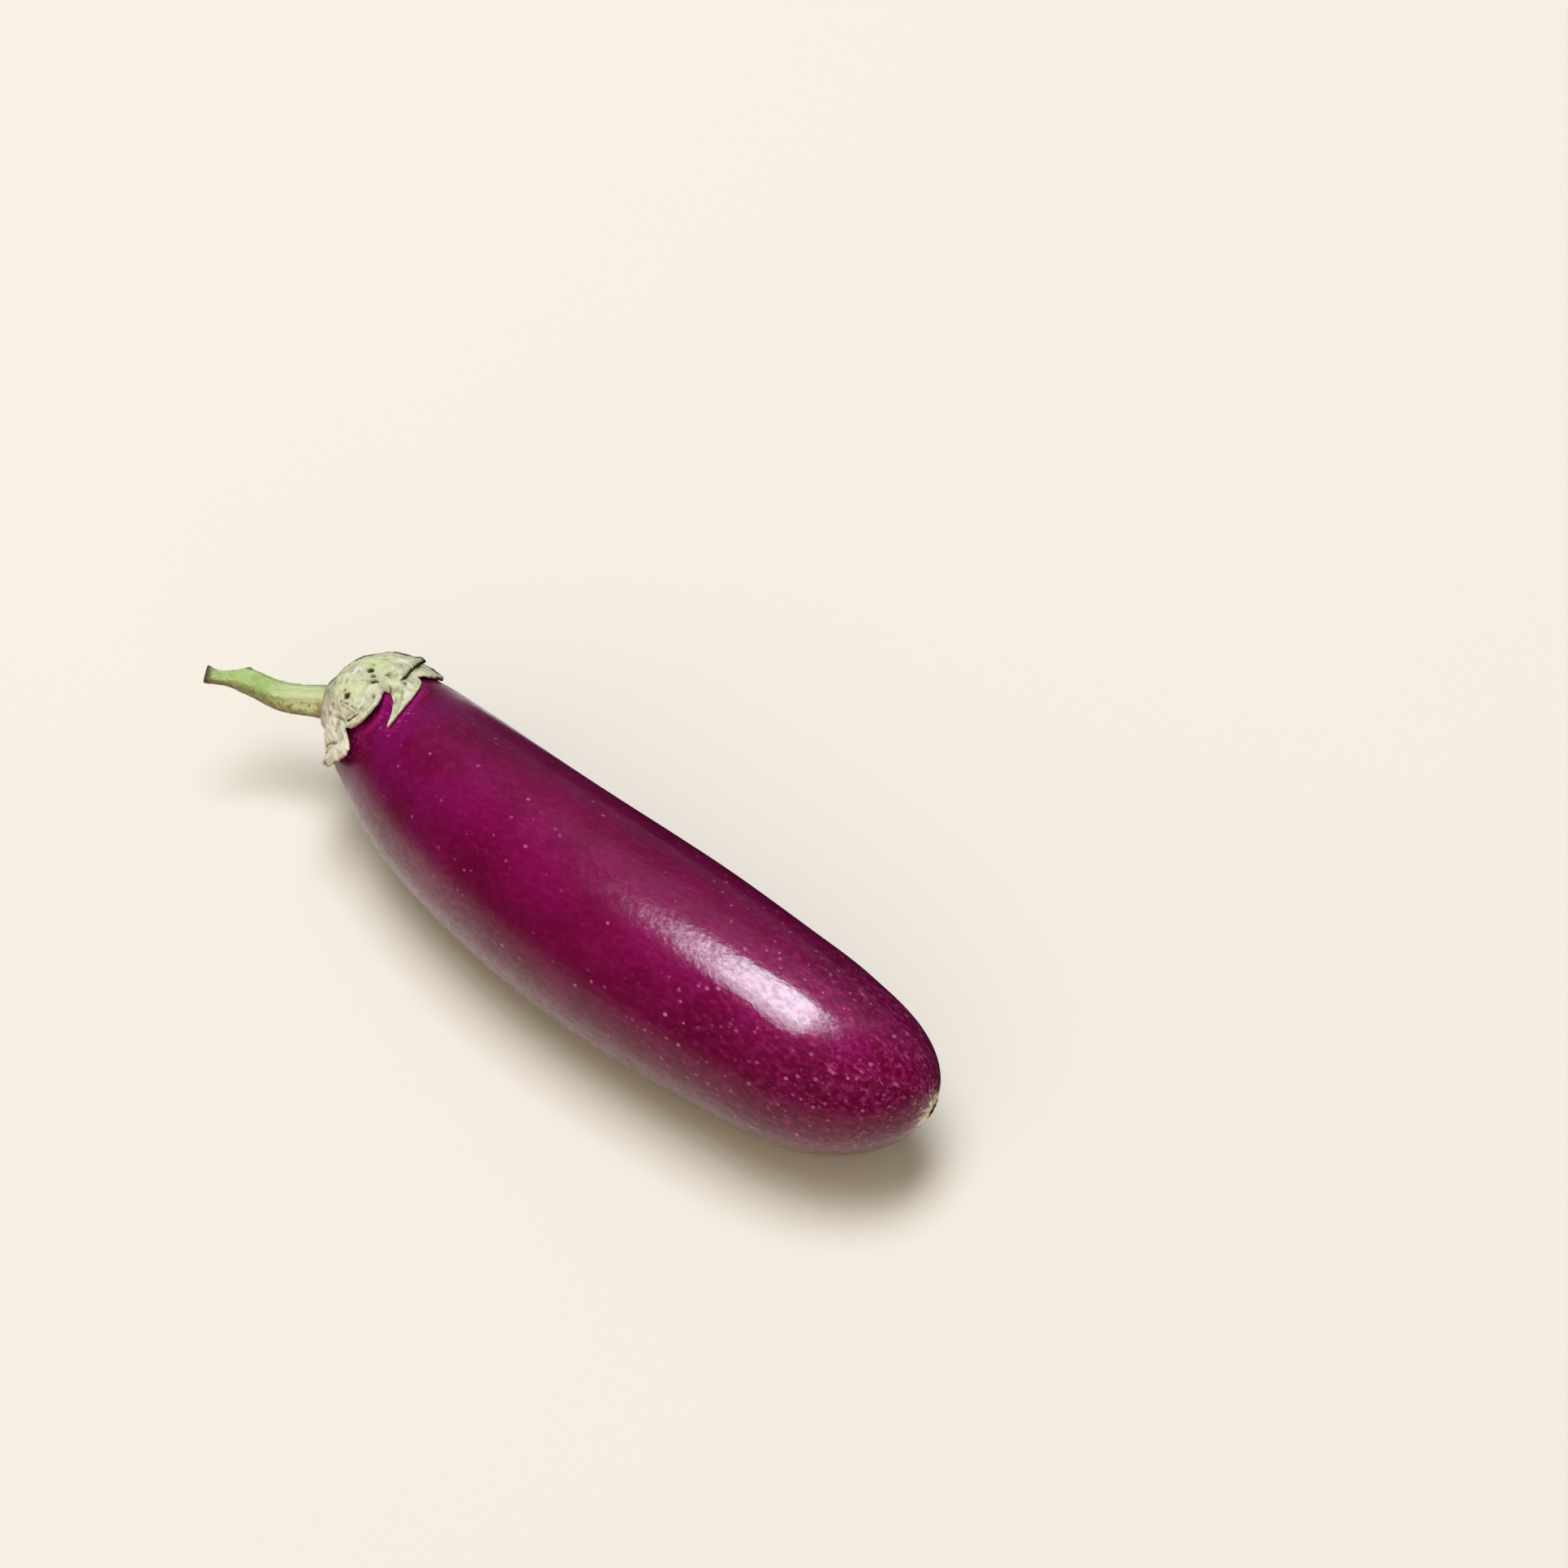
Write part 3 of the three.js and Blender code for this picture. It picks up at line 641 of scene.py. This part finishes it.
def from_path(points, path):
    """Each point's distance, in mm, from a crease given as (reach, angle) pairs."""
    path = np.array(path, float)
    knots = above_skin(path[:, 0], path[:, 1], np.full(len(path), CREASE_HEIGHT))
    best = np.full(points.shape[:-1], 1e9)
    for a, b in zip(knots[:-1], knots[1:]):
        f = np.clip(((points - a) @ (b - a)) / ((b - a) @ (b - a)), 0, 1)
        best = np.minimum(best, np.linalg.norm(points - a - f[..., None] * (b - a), axis=-1))
    return best


def from_spot(points, reach, angle):
    """Each point's distance, in mm, from a place on the blade's outer face."""
    centre = above_skin(np.array(float(reach)), np.array(float(angle)), np.array(BLADE_HEIGHT))
    return np.linalg.norm(points - centre, axis=-1)


def blade_tints(base, reach, angle, lumps):
    """How brown, leafy, pale and rosy each place is, 0 to 1."""
    tints = [sum(share * bump(from_spot(base, *at), 0, radius) for *at, radius, share in patches)
             for patches in (BROWN, LEAFY, PALE, ROSY)]
    # Painted shade: beyond the cap's outline the brown tint is raised, to darken the edge along the
    # outline.
    outline = np.interp(reach, OUTLINE_SHADE[:, 0], OUTLINE_SHADE[:, 1]) + 5 * lumps
    tints[0] = tints[0] + 0.9 * smooth(outline - angle, -6, 3) * smooth(angle, -60, 10)
    return np.clip(tints, 0, 1)


def blade_relief(reach, angle, t, which, noise):
    """How far the outer face stands over the plain blade, and how dark it is painted: stains and
    pits, and painted shade in its creases.
    """
    base = above_skin(reach, angle, np.full(reach.shape, BLADE_HEIGHT))
    x, y, z = np.moveaxis(base, -1, 0)
    around = np.radians(angle) * 14
    facing = np.maximum(np.cos(np.radians(angle - SWELL["angle"])), -SWELL["hollow"])
    height = SWELL["height"] * facing * bump(reach, SWELL["reach"], SWELL["width"])
    rib = 1 - np.abs(noise.layered(around * 0.50, reach * 0.13, z * 0.08, 3))
    soft = noise.layered(x * 0.24 + 40, y * 0.24 + 40, z * 0.24 + 40, 3)
    lumps = noise.layered(x * 0.55 + 11, y * 0.55 + 11, z * 0.55 + 11, 2)
    fine = noise.layered(x * 1.5 + 70, y * 1.5 + 70, z * 1.5 + 70, 3)
    rough = smooth(t, 0.03, 0.25)
    height = height + rough * (0.24 * (rib - 0.6) + 0.42 * soft + 0.20 * lumps + 0.05 * fine)
    # A little darker where the lumps dip.
    stain_and_shade = 0.25 * smooth(-lumps, 0.25, 0.9)
    # Each crease is grooved and painted darker along it: partly brown, partly painted shade in the
    # groove.
    for path, depth, width, brown in CREASES:
        near = from_path(base, path) + 0.12 * fine
        height = height - depth * np.exp(-((near / width) ** 2))
        stain_and_shade = np.maximum(stain_and_shade, brown * np.exp(-((near / (width * 1.1)) ** 2)))
    for pit_reach, pit_angle, radius, dark in PITS:
        off = from_spot(base, pit_reach, pit_angle) + 0.35 * radius * fine + 0.15 * radius * lumps
        height = height - 0.6 * dark * np.exp(-((off / radius) ** 3))
        height = height + 0.10 * dark * bump(off, radius * 1.8, radius * 0.5)
        stain_and_shade = np.maximum(stain_and_shade, dark * np.exp(-((off / (radius * 1.2)) ** 2)))
    # The near lobe's end is curled over: a groove, and then a pad.
    pad = (which == 3) * smooth(angle, 138, 146)
    height = height + pad * (0.9 * bump(t, 0.86, 0.10) - 0.55 * bump(t, 0.68, 0.04))
    return height, stain_and_shade, blade_tints(base, reach, angle, lumps)


def fold(reach, angle, t):
    """Across the fold the crown's side stands over the edge's side and hangs a little past it:
    how much thicker the blade is, how far it slides, and the painted shade in the slit."""
    past = reach - np.interp(angle, FOLD_PATH[:, 0], FOLD_PATH[:, 1])
    folded = smooth(angle, 24, 34) * (1 - smooth(angle, 73, 84)) * (reach > 12)
    over = smooth(past, -9, -0.3) * (past < 0) * (1 - 0.35 * smooth(past, -0.5, 0))
    slide = folded * np.where(past < 0, 0.9 * np.exp(past / 1.2), -0.6 * np.exp(-past / 0.7))
    # Painted shade: the slit under the fold is painted dark.
    slit = folded * bump(past, 0.25, 0.42) * 0.7
    return folded * (1.25 * over - 0.15 * (past >= 0)), slide * (1 - smooth(t, 0.93, 1)), slit


def socket_rings(circle, ragged):
    """The crown's wall round the stem and its rounded rim, from the socket's floor outwards."""
    centre, along, side, up = line_frame(FRUIT_LINE, np.array(0.0))
    wall = STEM_RADII[0] * (1 + STEM_RIB_DEPTH) + STEM_GAP
    fall = 0.4
    profile = [(wall, SOCKET_FLOOR), (wall, SOCKET_CREST - fall), (wall + 0.25, SOCKET_CREST - 0.1),
               (wall + 0.6, SOCKET_CREST), (wall + 0.95, SOCKET_CREST - 0.12),
               (wall + 1.3, SOCKET_CREST - fall)]
    outward = np.cos(circle)[:, None] * side + np.sin(circle)[:, None] * up
    frill = 0.2 * ragged(6 * np.cos(circle) + 3, 6 * np.sin(circle) + 3)
    return np.stack([centre - along * (height + (frill if k > 1 else 0 * frill))[:, None]
                     + outward * radius for k, (radius, height) in enumerate(profile)])


def blade_rim(outer, inner):
    """The ring that rounds the blade's edge, between its outer and its inner face."""
    middle = (outer[-1] + inner[0]) / 2
    back = (outer[-4] + inner[1]) / 2
    half = np.linalg.norm(outer[-1] - inner[0], axis=-1, keepdims=True) / 2
    return (middle + unit(middle - back) * half * 0.7)[None]


def blade_lines(t, blade, noise):
    """Reach, angle and lift off the skin, by row and column. `blade` has each column's angle,
    lobe, edge's reach and how far into its lobe it is. `t` is 0 at the crown, 1 at the edge."""
    column, which, edge, inside = blade
    lean, lift, ease = np.array([lobe[6:] for lobe in LOBES])[which].T
    circle = np.radians(column)
    t = t[:, None]
    reach = CROWN_REACH + (edge - CROWN_REACH) * t
    angle = column + lean * inside**LEAN_POWER * t**3
    rise = lift * inside**ease * smooth(t, LIFT_START, 1) ** 1.5
    wave = noise(9 * np.cos(circle) + 4, 9 * np.sin(circle) + 4, t * 1.5)
    return reach, angle, rise + 0.5 * np.maximum(wave + 0.1, 0) * smooth(t, 0.75, 1)


def outer_face(blade, noise):
    """The blade's outer face, its grain, and what its paint needs."""
    _, which, edge, _ = blade
    rows = 1 - (1 - np.linspace(0, 1, CALYX_ROWS + 1)) ** 1.15
    reach, angle, rise = blade_lines(rows, blade, noise)
    t = rows[:, None] + 0 * reach
    extra, stain_and_shade, tints = blade_relief(reach, angle, t, which, noise)
    thicker, slide, slit = fold(reach, angle, t)
    plain = CALYX_BASE + (CALYX_EDGE - CALYX_BASE) * smooth(t, 0, 1)
    roll = ROLL[which] * bump(edge - reach, 0.75, 0.65)
    thick = np.maximum(plain + extra * (1 - smooth(t, 0.93, 1)) + roll + thicker, 0.5)
    points = above_skin(reach + slide, angle, CALYX_GAP + rise + thick)
    grain = np.stack([np.radians(angle) * 16, reach, 0 * reach], -1)
    return points, grain, edge - reach, np.maximum(stain_and_shade, slit), tints


def inner_face(blade, noise):
    """The blade's inner face from its edge in, and on under the crown to the stem's end."""
    reach, angle, rise = blade_lines(np.linspace(1, 0, CALYX_INNER_ROWS + 1), blade, noise)
    crown_reach = CROWN_REACH * (1 - np.arange(1, CROWN_INNER_ROWS) / CROWN_INNER_ROWS)[:, None]
    crown = above_skin(crown_reach, blade[0][None], np.full(crown_reach.shape, CALYX_GAP))
    return np.concatenate([above_skin(reach, angle, CALYX_GAP + rise), crown])


def make_calyx_mesh():
    """The whole blade: the socket, the outer face, the rim and the inner face back to the stem."""
    noise, ragged = Noise(23), Noise(41)
    column = column_angles()
    circle = np.radians(column)
    which, edge, inside = lobe_at(column)
    teeth = ragged.layered(13 * np.cos(circle) + 15, 13 * np.sin(circle) + 15, layers=4)
    blade = column, which, edge + RAGGED[which] * (teeth - 0.2), inside
    outer, grain, to_edge, stain_and_shade, tints = outer_face(blade, noise)
    inner = inner_face(blade, noise)
    socket = socket_rings(circle, ragged)
    rings = np.concatenate([socket, outer, blade_rim(outer, inner), inner])

    def spread(top, value, rim_value, under):
        """One value for every ring: the socket, the outer face, the rim and the inner face."""
        return np.concatenate([np.full((len(socket), CALYX_COLUMNS), top), value,
                               np.broadcast_to(rim_value, (1, CALYX_COLUMNS)),
                               np.full((len(inner), CALYX_COLUMNS), under)])

    values = {
        "grain": np.concatenate([np.repeat(grain[:1], len(socket), 0), grain,
                                 np.repeat(grain[-1:], 1 + len(inner), 0)]),
        "to_edge": spread(20.0, to_edge, 0.0, 1.5),
        "stain_and_shade": spread(0.2, stain_and_shade, stain_and_shade[-1], 0.0),
        **{name: spread(0.3, tint, tint[-1], 0.1)
           for name, tint in zip(("brown", "leafy", "pale", "rosy"), tints)},
        "inner": spread(0.0, np.zeros(stain_and_shade.shape), 0.3, 1.0),
        "turn": np.repeat(column[None], len(rings), 0),
    }
    centre, along, _, _ = line_frame(FRUIT_LINE, np.array(0.0))
    floor, under = centre - along * SOCKET_FLOOR, centre - along * CALYX_GAP
    return ring_mesh("calyx_skin", floor, rings, under, values)


def calyx_material():
    n = Nodes("calyx_skin")
    grain = n.attribute("grain", "Vector")
    place_mm = n.millimetres()
    to_edge, stain_and_shade = n.attribute("to_edge"), n.attribute("stain_and_shade")
    inner, turn = n.attribute("inner"), n.attribute("turn")

    patch = n.noise(place_mm, 0.42, 4.0, 0.62)
    fine = n.noise(place_mm, 1.6, 5.0, 0.7)
    grit = n.noise(place_mm, 0.9, 4.0, 0.66)
    thread = n.noise(n.stretch(grain, 2.2, 0.35, 1), 1.0, 5.0, 0.65)

    def tint(name, share, *paint):
        """Paints a named set of patches, with torn edges."""
        edge = n.times(n.maths("SUBTRACT", grit, 0.5), 1.6)
        shape = n.ramp(n.plus(n.attribute(name), edge), 0.15, 0.75, 0, share)
        n.paint(shape, shown(*paint))

    n.colour = n.mix(n.ramp(patch, 0.40, 0.60), shown(192, 195, 150), shown(218, 214, 179))
    tint("leafy", 0.8, 216, 227, 164)
    # The near lobe is the palest, a pinkish cream.
    near = n.times(n.ramp(turn, 129, 136), n.ramp(turn, 215, 190))
    n.paint(n.times(near, 0.8), shown(221, 210, 192, 0.75))
    tint("rosy", 0.75, 212, 192, 173)
    tint("pale", 0.9, 237, 232, 212)
    # Fine threads and a pale and dark mottle over it all.
    n.paint(n.times(n.ramp(thread, 0.56, 0.72), 0.35), shown(147, 141, 99))
    n.paint(n.times(n.ramp(fine, 0.56, 0.70), 0.35), shown(234, 231, 206))
    n.paint(n.times(n.ramp(fine, 0.44, 0.32), 0.35), shown(154, 156, 104))
    # Brown patches, and the brown painted beyond the cap's outline as shade.
    tint("brown", 0.95, 104, 88, 58)
    n.paint(n.times(inner, 0.8), shown(192, 182, 145))
    # A pale margin with a dry, torn edge, and then the darkened creases, slit and pits: brown
    # stains, with painted shade in the creases and the slit.
    margin = n.ramp(n.plus(to_edge, n.times(grit, 2.4)), 2.1, 1.3, 0, 0.6)
    n.paint(margin, shown(231, 223, 193))
    dry = n.ramp(n.plus(to_edge, n.times(patch, 2.0)), 1.15, 0.85, 0, 0.7)
    n.paint(dry, shown(164, 140, 110))
    n.paint(n.ramp(stain_and_shade, 0.05, 0.4, 0, 0.75), shown(98, 84, 40))
    n.paint(n.ramp(stain_and_shade, 0.32, 0.65, 0, 0.98), shown(64, 57, 4))
    n.set(Base_Color=n.colour)
    n.set(Specular_IOR_Level=n.ramp(stain_and_shade, 0.25, 0.6, 0.5, 0.0))
    n.set(Roughness=n.ramp(fine, 0.3, 0.7, 0.5, 0.75), IOR=1.4)
    n.set(Normal=n.bump(fine, 0.00014, normal=n.bump(thread, 0.00022)))
    return n.material


# ---- Stem --------------------------------

STEM_SIDES = 112
STEM_RINGS = 300
STEM_KNOB = np.array([-100.9, 1.45, 34.2])  # a small corky knob on the knuckle's top
KNOB_RADIUS, KNOB_HEIGHT = 1.0, 0.55
# The dry cut end sinks this far in its middle, and has rings at these shares of its radius.
CUT_SINK, CUT_SHARES = 0.5, [0.8, 0.55, 0.3, 0.12]


def cut_rings(edge, middle, forward, angle, noise):
    """Rings across the stem's cut end, inside its edge."""
    rings = []
    for share in CUT_SHARES:
        lumps = noise(3 * share * np.cos(angle) + 50, 3 * share * np.sin(angle) + 50)
        sink = CUT_SINK * (1 - share**2) + 0.12 * lumps
        rings.append(middle + (edge - middle) * share - forward * sink[:, None])
    return np.array(rings)


def stem_relief(x, y, run, length, plain, noise):
    """How far the skin stands over the plain ribs, with its beads and its knob, 0 to 1."""
    bare = smooth(run, 1.5, 4)
    soft = noise.layered(x + 3, y + 3, run / 5, 3)
    fibres = noise.layered(4 * x + 9, 4 * y + 9, run / 9, 2)
    beads = noise(2.6 * x + 20, 2.6 * y + 20, run / 1.1)
    height = bare * (0.16 * soft + 0.06 * fibres + 0.22 * np.maximum(beads - 0.35, 0))
    knob = bump(np.linalg.norm(plain - STEM_KNOB, axis=-1), 0, KNOB_RADIUS)
    height = height + KNOB_HEIGHT * knob
    end = smooth(run, length - 2.2, length)
    height = height + end * (0.12 + 0.22 * noise(2 * x + 31, 2 * y + 31, run / 1.5))
    return height - 0.35 * smooth(run, length - 0.5, length), beads, knob


def make_stem_mesh():
    """The ribbed stalk, from the floor of its socket to the dry cut end."""
    noise = Noise(59)
    centre, along, _, _ = line_frame(FRUIT_LINE, np.array(0.0))
    start = SOCKET_FLOOR + STEM_GAP
    line = np.array([centre - along * start, centre - along * (start + STEM_STRAIGHT),
                     *STEM_POINTS])
    last = len(line) - 1
    station = np.linspace(0, last, STEM_RINGS)[:, None]
    angle = np.arange(STEM_SIDES)[None, :] * 2 * np.pi / STEM_SIDES
    middle, forward, side, up = line_frame(line, station[:, 0])
    outward = (np.cos(angle)[..., None] * side[:, None] + np.sin(angle)[..., None] * up[:, None])
    turned = STEM_RIBS * (angle + STEM_TWIST * station / last)
    radius = spline(STEM_RADII[:, None], station[:, 0]) * (1 + STEM_RIB_DEPTH * np.cos(turned))
    length = np.concatenate([[0], np.cumsum(np.linalg.norm(np.diff(middle, axis=0), axis=1))])
    run = length[:, None] + 0 * angle
    x, y = 1.6 * np.cos(angle), 1.6 * np.sin(angle)
    plain = middle[:, None] + outward * radius[..., None]
    height, beads, knob = stem_relief(x, y, run, length[-1], plain, noise)
    rings = middle[:, None] + outward * (radius + height)[..., None]
    cut = cut_rings(rings[-1], middle[-1], forward[-1], angle[0], noise)
    rings = np.concatenate([rings, cut])

    def spread(value, at_cut):
        return np.concatenate([value, np.full((len(cut), STEM_SIDES), at_cut)])

    grain = np.stack([x + 0 * run, y + 0 * run, run / 4], -1)
    values = {
        "grain": np.concatenate([grain, np.repeat(grain[-1:], len(cut), 0)]),
        "run": spread(run, length[-1] + 1),
        "low": spread(np.cos(angle + np.pi / 4) + 0 * run, 0.0),
        "beads": spread(beads, 0.0),
        "knob": spread(knob, 0.0),
        "cut": spread(0 * run, 1.0),
        "to_tip": spread(length[-1] - run, 0.0),
    }
    tip = middle[-1] - forward[-1] * CUT_SINK
    return ring_mesh("stem_skin", line[0], rings, tip, values)


def stem_material():
    n = Nodes("stem_skin")
    grain = n.attribute("grain", "Vector")
    place_mm = n.millimetres()
    run, low = n.attribute("run"), n.attribute("low")
    to_tip, beads, cut = n.attribute("to_tip"), n.attribute("beads"), n.attribute("cut")

    fine = n.noise(place_mm, 1.7, 5.0, 0.7)
    blotch = n.noise(place_mm, 0.55, 3.0, 0.6)
    thread = n.noise(n.stretch(grain, 6, 6, 0.7), 1.0, 5.0, 0.65)
    # Bright green from the tip to its middle, then paler and yellower down to the calyx.
    along = n.plus(run, n.times(n.maths("SUBTRACT", blotch, 0.5), 10))
    n.colour = n.mix(n.ramp(along, 7, 18), shown(206, 212, 152), shown(168, 196, 106))
    n.paint(n.ramp(blotch, 0.44, 0.64, 0, 0.6), shown(206, 216, 162))
    n.paint(n.times(n.ramp(thread, 0.5, 0.72), 0.35), shown(140, 154, 86))
    n.paint(n.times(n.ramp(fine, 0.55, 0.7), 0.35), shown(221, 221, 182))
    # Scuffed olive and brown along the low near side, mostly towards the calyx, and a darker band
    # along it that is partly its own brown and partly painted shade.
    scuff = n.plus(low, n.times(n.maths("SUBTRACT", blotch, 0.5), 2.4))
    n.paint(n.ramp(scuff, 0.35, 0.85, 0, 0.8), shown(164, 151, 97, 0.7))
    # Painted shade, partly the underside's own brown: a darker band along the low near side.
    n.paint(n.ramp(low, 0.50, 0.66, 0, 0.6), shown(120, 104, 78, 0.7))
    bruise = n.noise(place_mm, 0.8, 3.0, 0.55)
    speck = n.times(n.ramp(bruise, 0.46, 0.64), n.ramp(scuff, 0.0, 0.6))
    n.paint(n.times(speck, n.ramp(run, 22, 12, 0.4, 0.9)), shown(104, 92, 44, 0.7))
    # A darker green along the far top side.
    crest = n.ramp(n.plus(low, n.times(fine, 0.4)), -0.66, -0.90, 0, 0.85)
    n.paint(crest, shown(96, 108, 76, 0.8))
    n.paint(n.ramp(beads, 0.45, 0.8, 0, 0.35), shown(216, 214, 173))
    n.paint(n.ramp(n.attribute("knob"), 0.1, 0.6, 0, 0.8), shown(100, 108, 82))
    # Russet where it leaves the calyx, and dry and brown at its cut end.
    russet = n.plus(run, n.times(blotch, 5.0))
    russet = n.times(n.ramp(russet, 5.6, 4.4), n.ramp(low, -0.5, 0.2))
    n.paint(n.times(russet, 0.6), shown(164, 119, 69))
    dry = n.ramp(n.plus(to_tip, n.times(fine, 3.0)), 3.8, 1.8, 0, 1)
    n.paint(dry, shown(91, 67, 46))
    n.paint(cut, shown(113, 87, 60))
    n.set(Base_Color=n.colour)
    n.set(Roughness=n.ramp(fine, 0.3, 0.7, 0.45, 0.65), IOR=1.4)
    n.set(Normal=n.bump(fine, 0.0002, normal=n.bump(thread, 0.0003)))
    return n.material


# ---- Floor, light and camera -------------

FLOOR_HALF = 6.0
CAMERA_AT, CAMERA_LOOKS_AT = (0.32445, -0.33972, 0.619), (0.0255, 0.057, 0.027)
SENSOR_MM, LENS_MM = 36, 72


def add_sheet(name, points, panels, material):
    """A thin sheet of the stage. It isn't a piece of the part."""
    mesh = bpy.data.meshes.new(name)
    mesh.from_pydata(points, [], panels)
    mesh.materials.append(material)
    sheet = bpy.data.objects.new(name, mesh)
    bpy.context.scene.collection.objects.link(sheet)
    return sheet


def square(half, z):
    return [(-half, -half, z), (half, -half, z), (half, half, z), (-half, half, z)]


def show_in_shine_only(sheet):
    sheet.visible_camera = sheet.visible_diffuse = sheet.visible_shadow = False
    sheet.visible_transmission = sheet.visible_volume_scatter = False


def make_floor():
    n = Nodes("floor")
    mottle = n.noise(n.metres(), 3.0, 3.0)
    n.set(Base_Color=n.mix(mottle, shown(247, 238, 223, 1.0), shown(249, 240, 225, 1.0)))
    n.set(Roughness=0.9, Specular_IOR_Level=0.0)
    add_sheet("floor", square(FLOOR_HALF, 0), [(0, 1, 2, 3)], n.material)


def aim(thing, target):
    thing.rotation_euler = (Vector(target) - thing.location).to_track_quat("-Z", "Y").to_euler()


def add_light(name, kind, at, target, power, **settings):
    data = bpy.data.lights.new(name, kind)
    data.energy = power
    for key, value in settings.items():
        setattr(data, key, value)
    light = bpy.data.objects.new(name, data)
    light.location = at
    aim(light, target)
    bpy.context.scene.collection.objects.link(light)
    return light


def add_flag():
    """A dark flag behind the fruit, seen only in its shine, that keeps the far edge deep. It
    stands off the neck, where a strip of floor still shines beside it."""
    foot = [(-0.088, 0.092), (-0.045, 0.058), (0.0, 0.031), (0.07, 0.027), (0.15, 0.023)]
    top = 0.046
    points = [(x, y, z) for x, y in foot for z in (0.0, top)]
    panels = [(k, k + 2, k + 3, k + 1) for k in range(0, len(points) - 2, 2)]
    n = Nodes("flag")
    cloth = n.noise(n.metres(), 40.0, 3.0)
    n.set(Base_Color=n.mix(cloth, (0.03, 0.004, 0.016), (0.06, 0.008, 0.03)))
    n.set(Roughness=1.0)
    show_in_shine_only(add_sheet("flag", points, panels, n.material))


def add_apron():
    """A dark sheet over the floor, seen only in the skin's shine, that thickens away from the
    fruit: the low side mirrors the floor, and brightens softly towards its outline."""
    lift, middle = 0.0003, 0.08
    clear, clear_at_neck, dark, darkest = 0.036, 0.085, 0.32, 0.9
    n = Nodes("apron")
    split = n.add("ShaderNodeSeparateXYZ", {"Vector": n.metres()}).outputs
    beside = n.maths("MAXIMUM", n.maths("SUBTRACT", n.maths("ABSOLUTE", split["X"]), middle), 0.0)
    away = n.maths("SQRT", n.plus(n.times(beside, beside),
                                   n.times(split["Y"], split["Y"])))
    start = n.ramp(split["X"], 0.05, -0.09, clear, clear_at_neck, "LINEAR")
    share = n.maths("SQRT", n.ramp(away, start, dark, 0, 1, "LINEAR"))
    n.set(Alpha=n.times(share, darkest), Roughness=1.0)
    cloth = n.noise(n.metres(), 40.0, 3.0)
    n.set(Base_Color=n.mix(cloth, (0.03, 0.010, 0.016), (0.05, 0.014, 0.026)))
    show_in_shine_only(add_sheet("apron", square(FLOOR_HALF, lift), [(0, 1, 2, 3)], n.material))


def make_room():
    """A dark room with a soft lavender glow high on the far side, and cream where it is seen.
    What it adds to matt light is an even wash."""
    world = bpy.data.worlds.new("studio")
    bpy.context.scene.world = world
    world.use_nodes = True
    world.cycles.sampling_method = "NONE"
    n = Tree(world.node_tree)
    n.tree.nodes.clear()
    direction = n.add("ShaderNodeTexCoord").outputs["Generated"]

    def glow(towards, inner, outer, strength):
        """How brightly the room glows round one direction, out to two angles in degrees."""
        dot = n.add("ShaderNodeVectorMath", {0: direction, 1: Vector(towards).normalized()},
                    operation="DOT_PRODUCT")
        edges = [math.cos(math.radians(angle)) for angle in (outer, inner)]
        return n.ramp(dot.outputs["Value"], *edges, 0, strength, "SMOOTHERSTEP")

    def light(colour, strength=1.0):
        return n.add("ShaderNodeBackground", {"Color": colour, "Strength": strength}).outputs[0]

    def choose(ray, otherwise, seen):
        """One light for rays of a kind, and another for the rest."""
        return n.add("ShaderNodeMixShader", {"Fac": rays[ray], 1: otherwise, 2: seen}).outputs[0]

    rays = n.add("ShaderNodeLightPath").outputs
    faint = 0.015
    glows = n.plus(glow((-0.12, 0.55, 0.83), 4, 30, 0.42),
                    glow((-0.20, 0.85, 0.50), 20, 65, 0.12))
    room = light((0.92, 0.86, 1.0, 1), n.plus(glows, faint))
    wash = light((0.8, 0.8, 0.8, 1), 0.30)
    # Where it is seen, its foot is as dim as the floor's far edge, and it brightens upwards.
    height = n.add("ShaderNodeSeparateXYZ", {"Vector": direction}).outputs["Z"]
    rise = n.ramp(height, -0.05, 0.3, 0, 1, "SMOOTHERSTEP")
    wall = light(n.mix(rise, linear(168, 157, 138), linear(248, 240, 225)))
    surface = choose("Is Camera Ray", choose("Is Diffuse Ray", room, wash), wall)
    n.add("ShaderNodeOutputWorld", {"Surface": surface})


def make_light():
    """Soft light from overhead, brightest on its far half, and a near-side fill with no shine."""
    # Each sheet of the overhead light: its shape, place and size in metres, and its radiance.
    # Each hangs a little over the one before, for rays only meet one light at a time.
    sheets = {
        "key": ("RECTANGLE", -0.35, 0.06, 3.00, 1.26, 2.00, 5.5),
        "key_soft": ("ELLIPSE", -0.31, 0.06, 3.01, 1.66, 2.70, 5.4),
        "key_core": ("RECTANGLE", -0.28, 0.36, 3.02, 1.22, 1.58, 8.2),
    }
    for name, (shape, x, y, height, wide, long, radiance) in sheets.items():
        area = wide * long * (math.pi / 4 if shape == "ELLIPSE" else 1)
        key = add_light(name, "AREA", (x, y, height), (x, y, 0), radiance * math.pi * area,
                        shape=shape, size=wide, size_y=long, color=KEY_COLOUR)
        key.rotation_euler = (0, 0, 0)
    fill_from, fill_strength, fill_spread = (0.3, -0.8, 0.5), 2.5, math.radians(100)
    fill = add_light("fill", "SUN", fill_from, (0, 0, 0), fill_strength, angle=fill_spread,
                     color=FILL_COLOUR)
    fill.visible_glossy = False
    add_flag()
    add_apron()
    make_room()


def make_camera():
    data = bpy.data.cameras.new("camera")
    data.sensor_width, data.lens = SENSOR_MM, LENS_MM
    data.clip_start, data.clip_end = 0.01, 50
    camera = bpy.data.objects.new("camera", data)
    camera.location = CAMERA_AT
    aim(camera, CAMERA_LOOKS_AT)
    bpy.context.scene.collection.objects.link(camera)
    bpy.context.scene.camera = camera


make_camera()
make_floor()
make_light()
place(make_fruit_mesh(), "fruit", fruit_material())
place(make_calyx_mesh(), "calyx", calyx_material())
place(make_stem_mesh(), "stem", stem_material())

view = bpy.context.scene.view_settings
view.view_transform = "Standard"
view.look = "None"

bpy.context.view_layer.update()
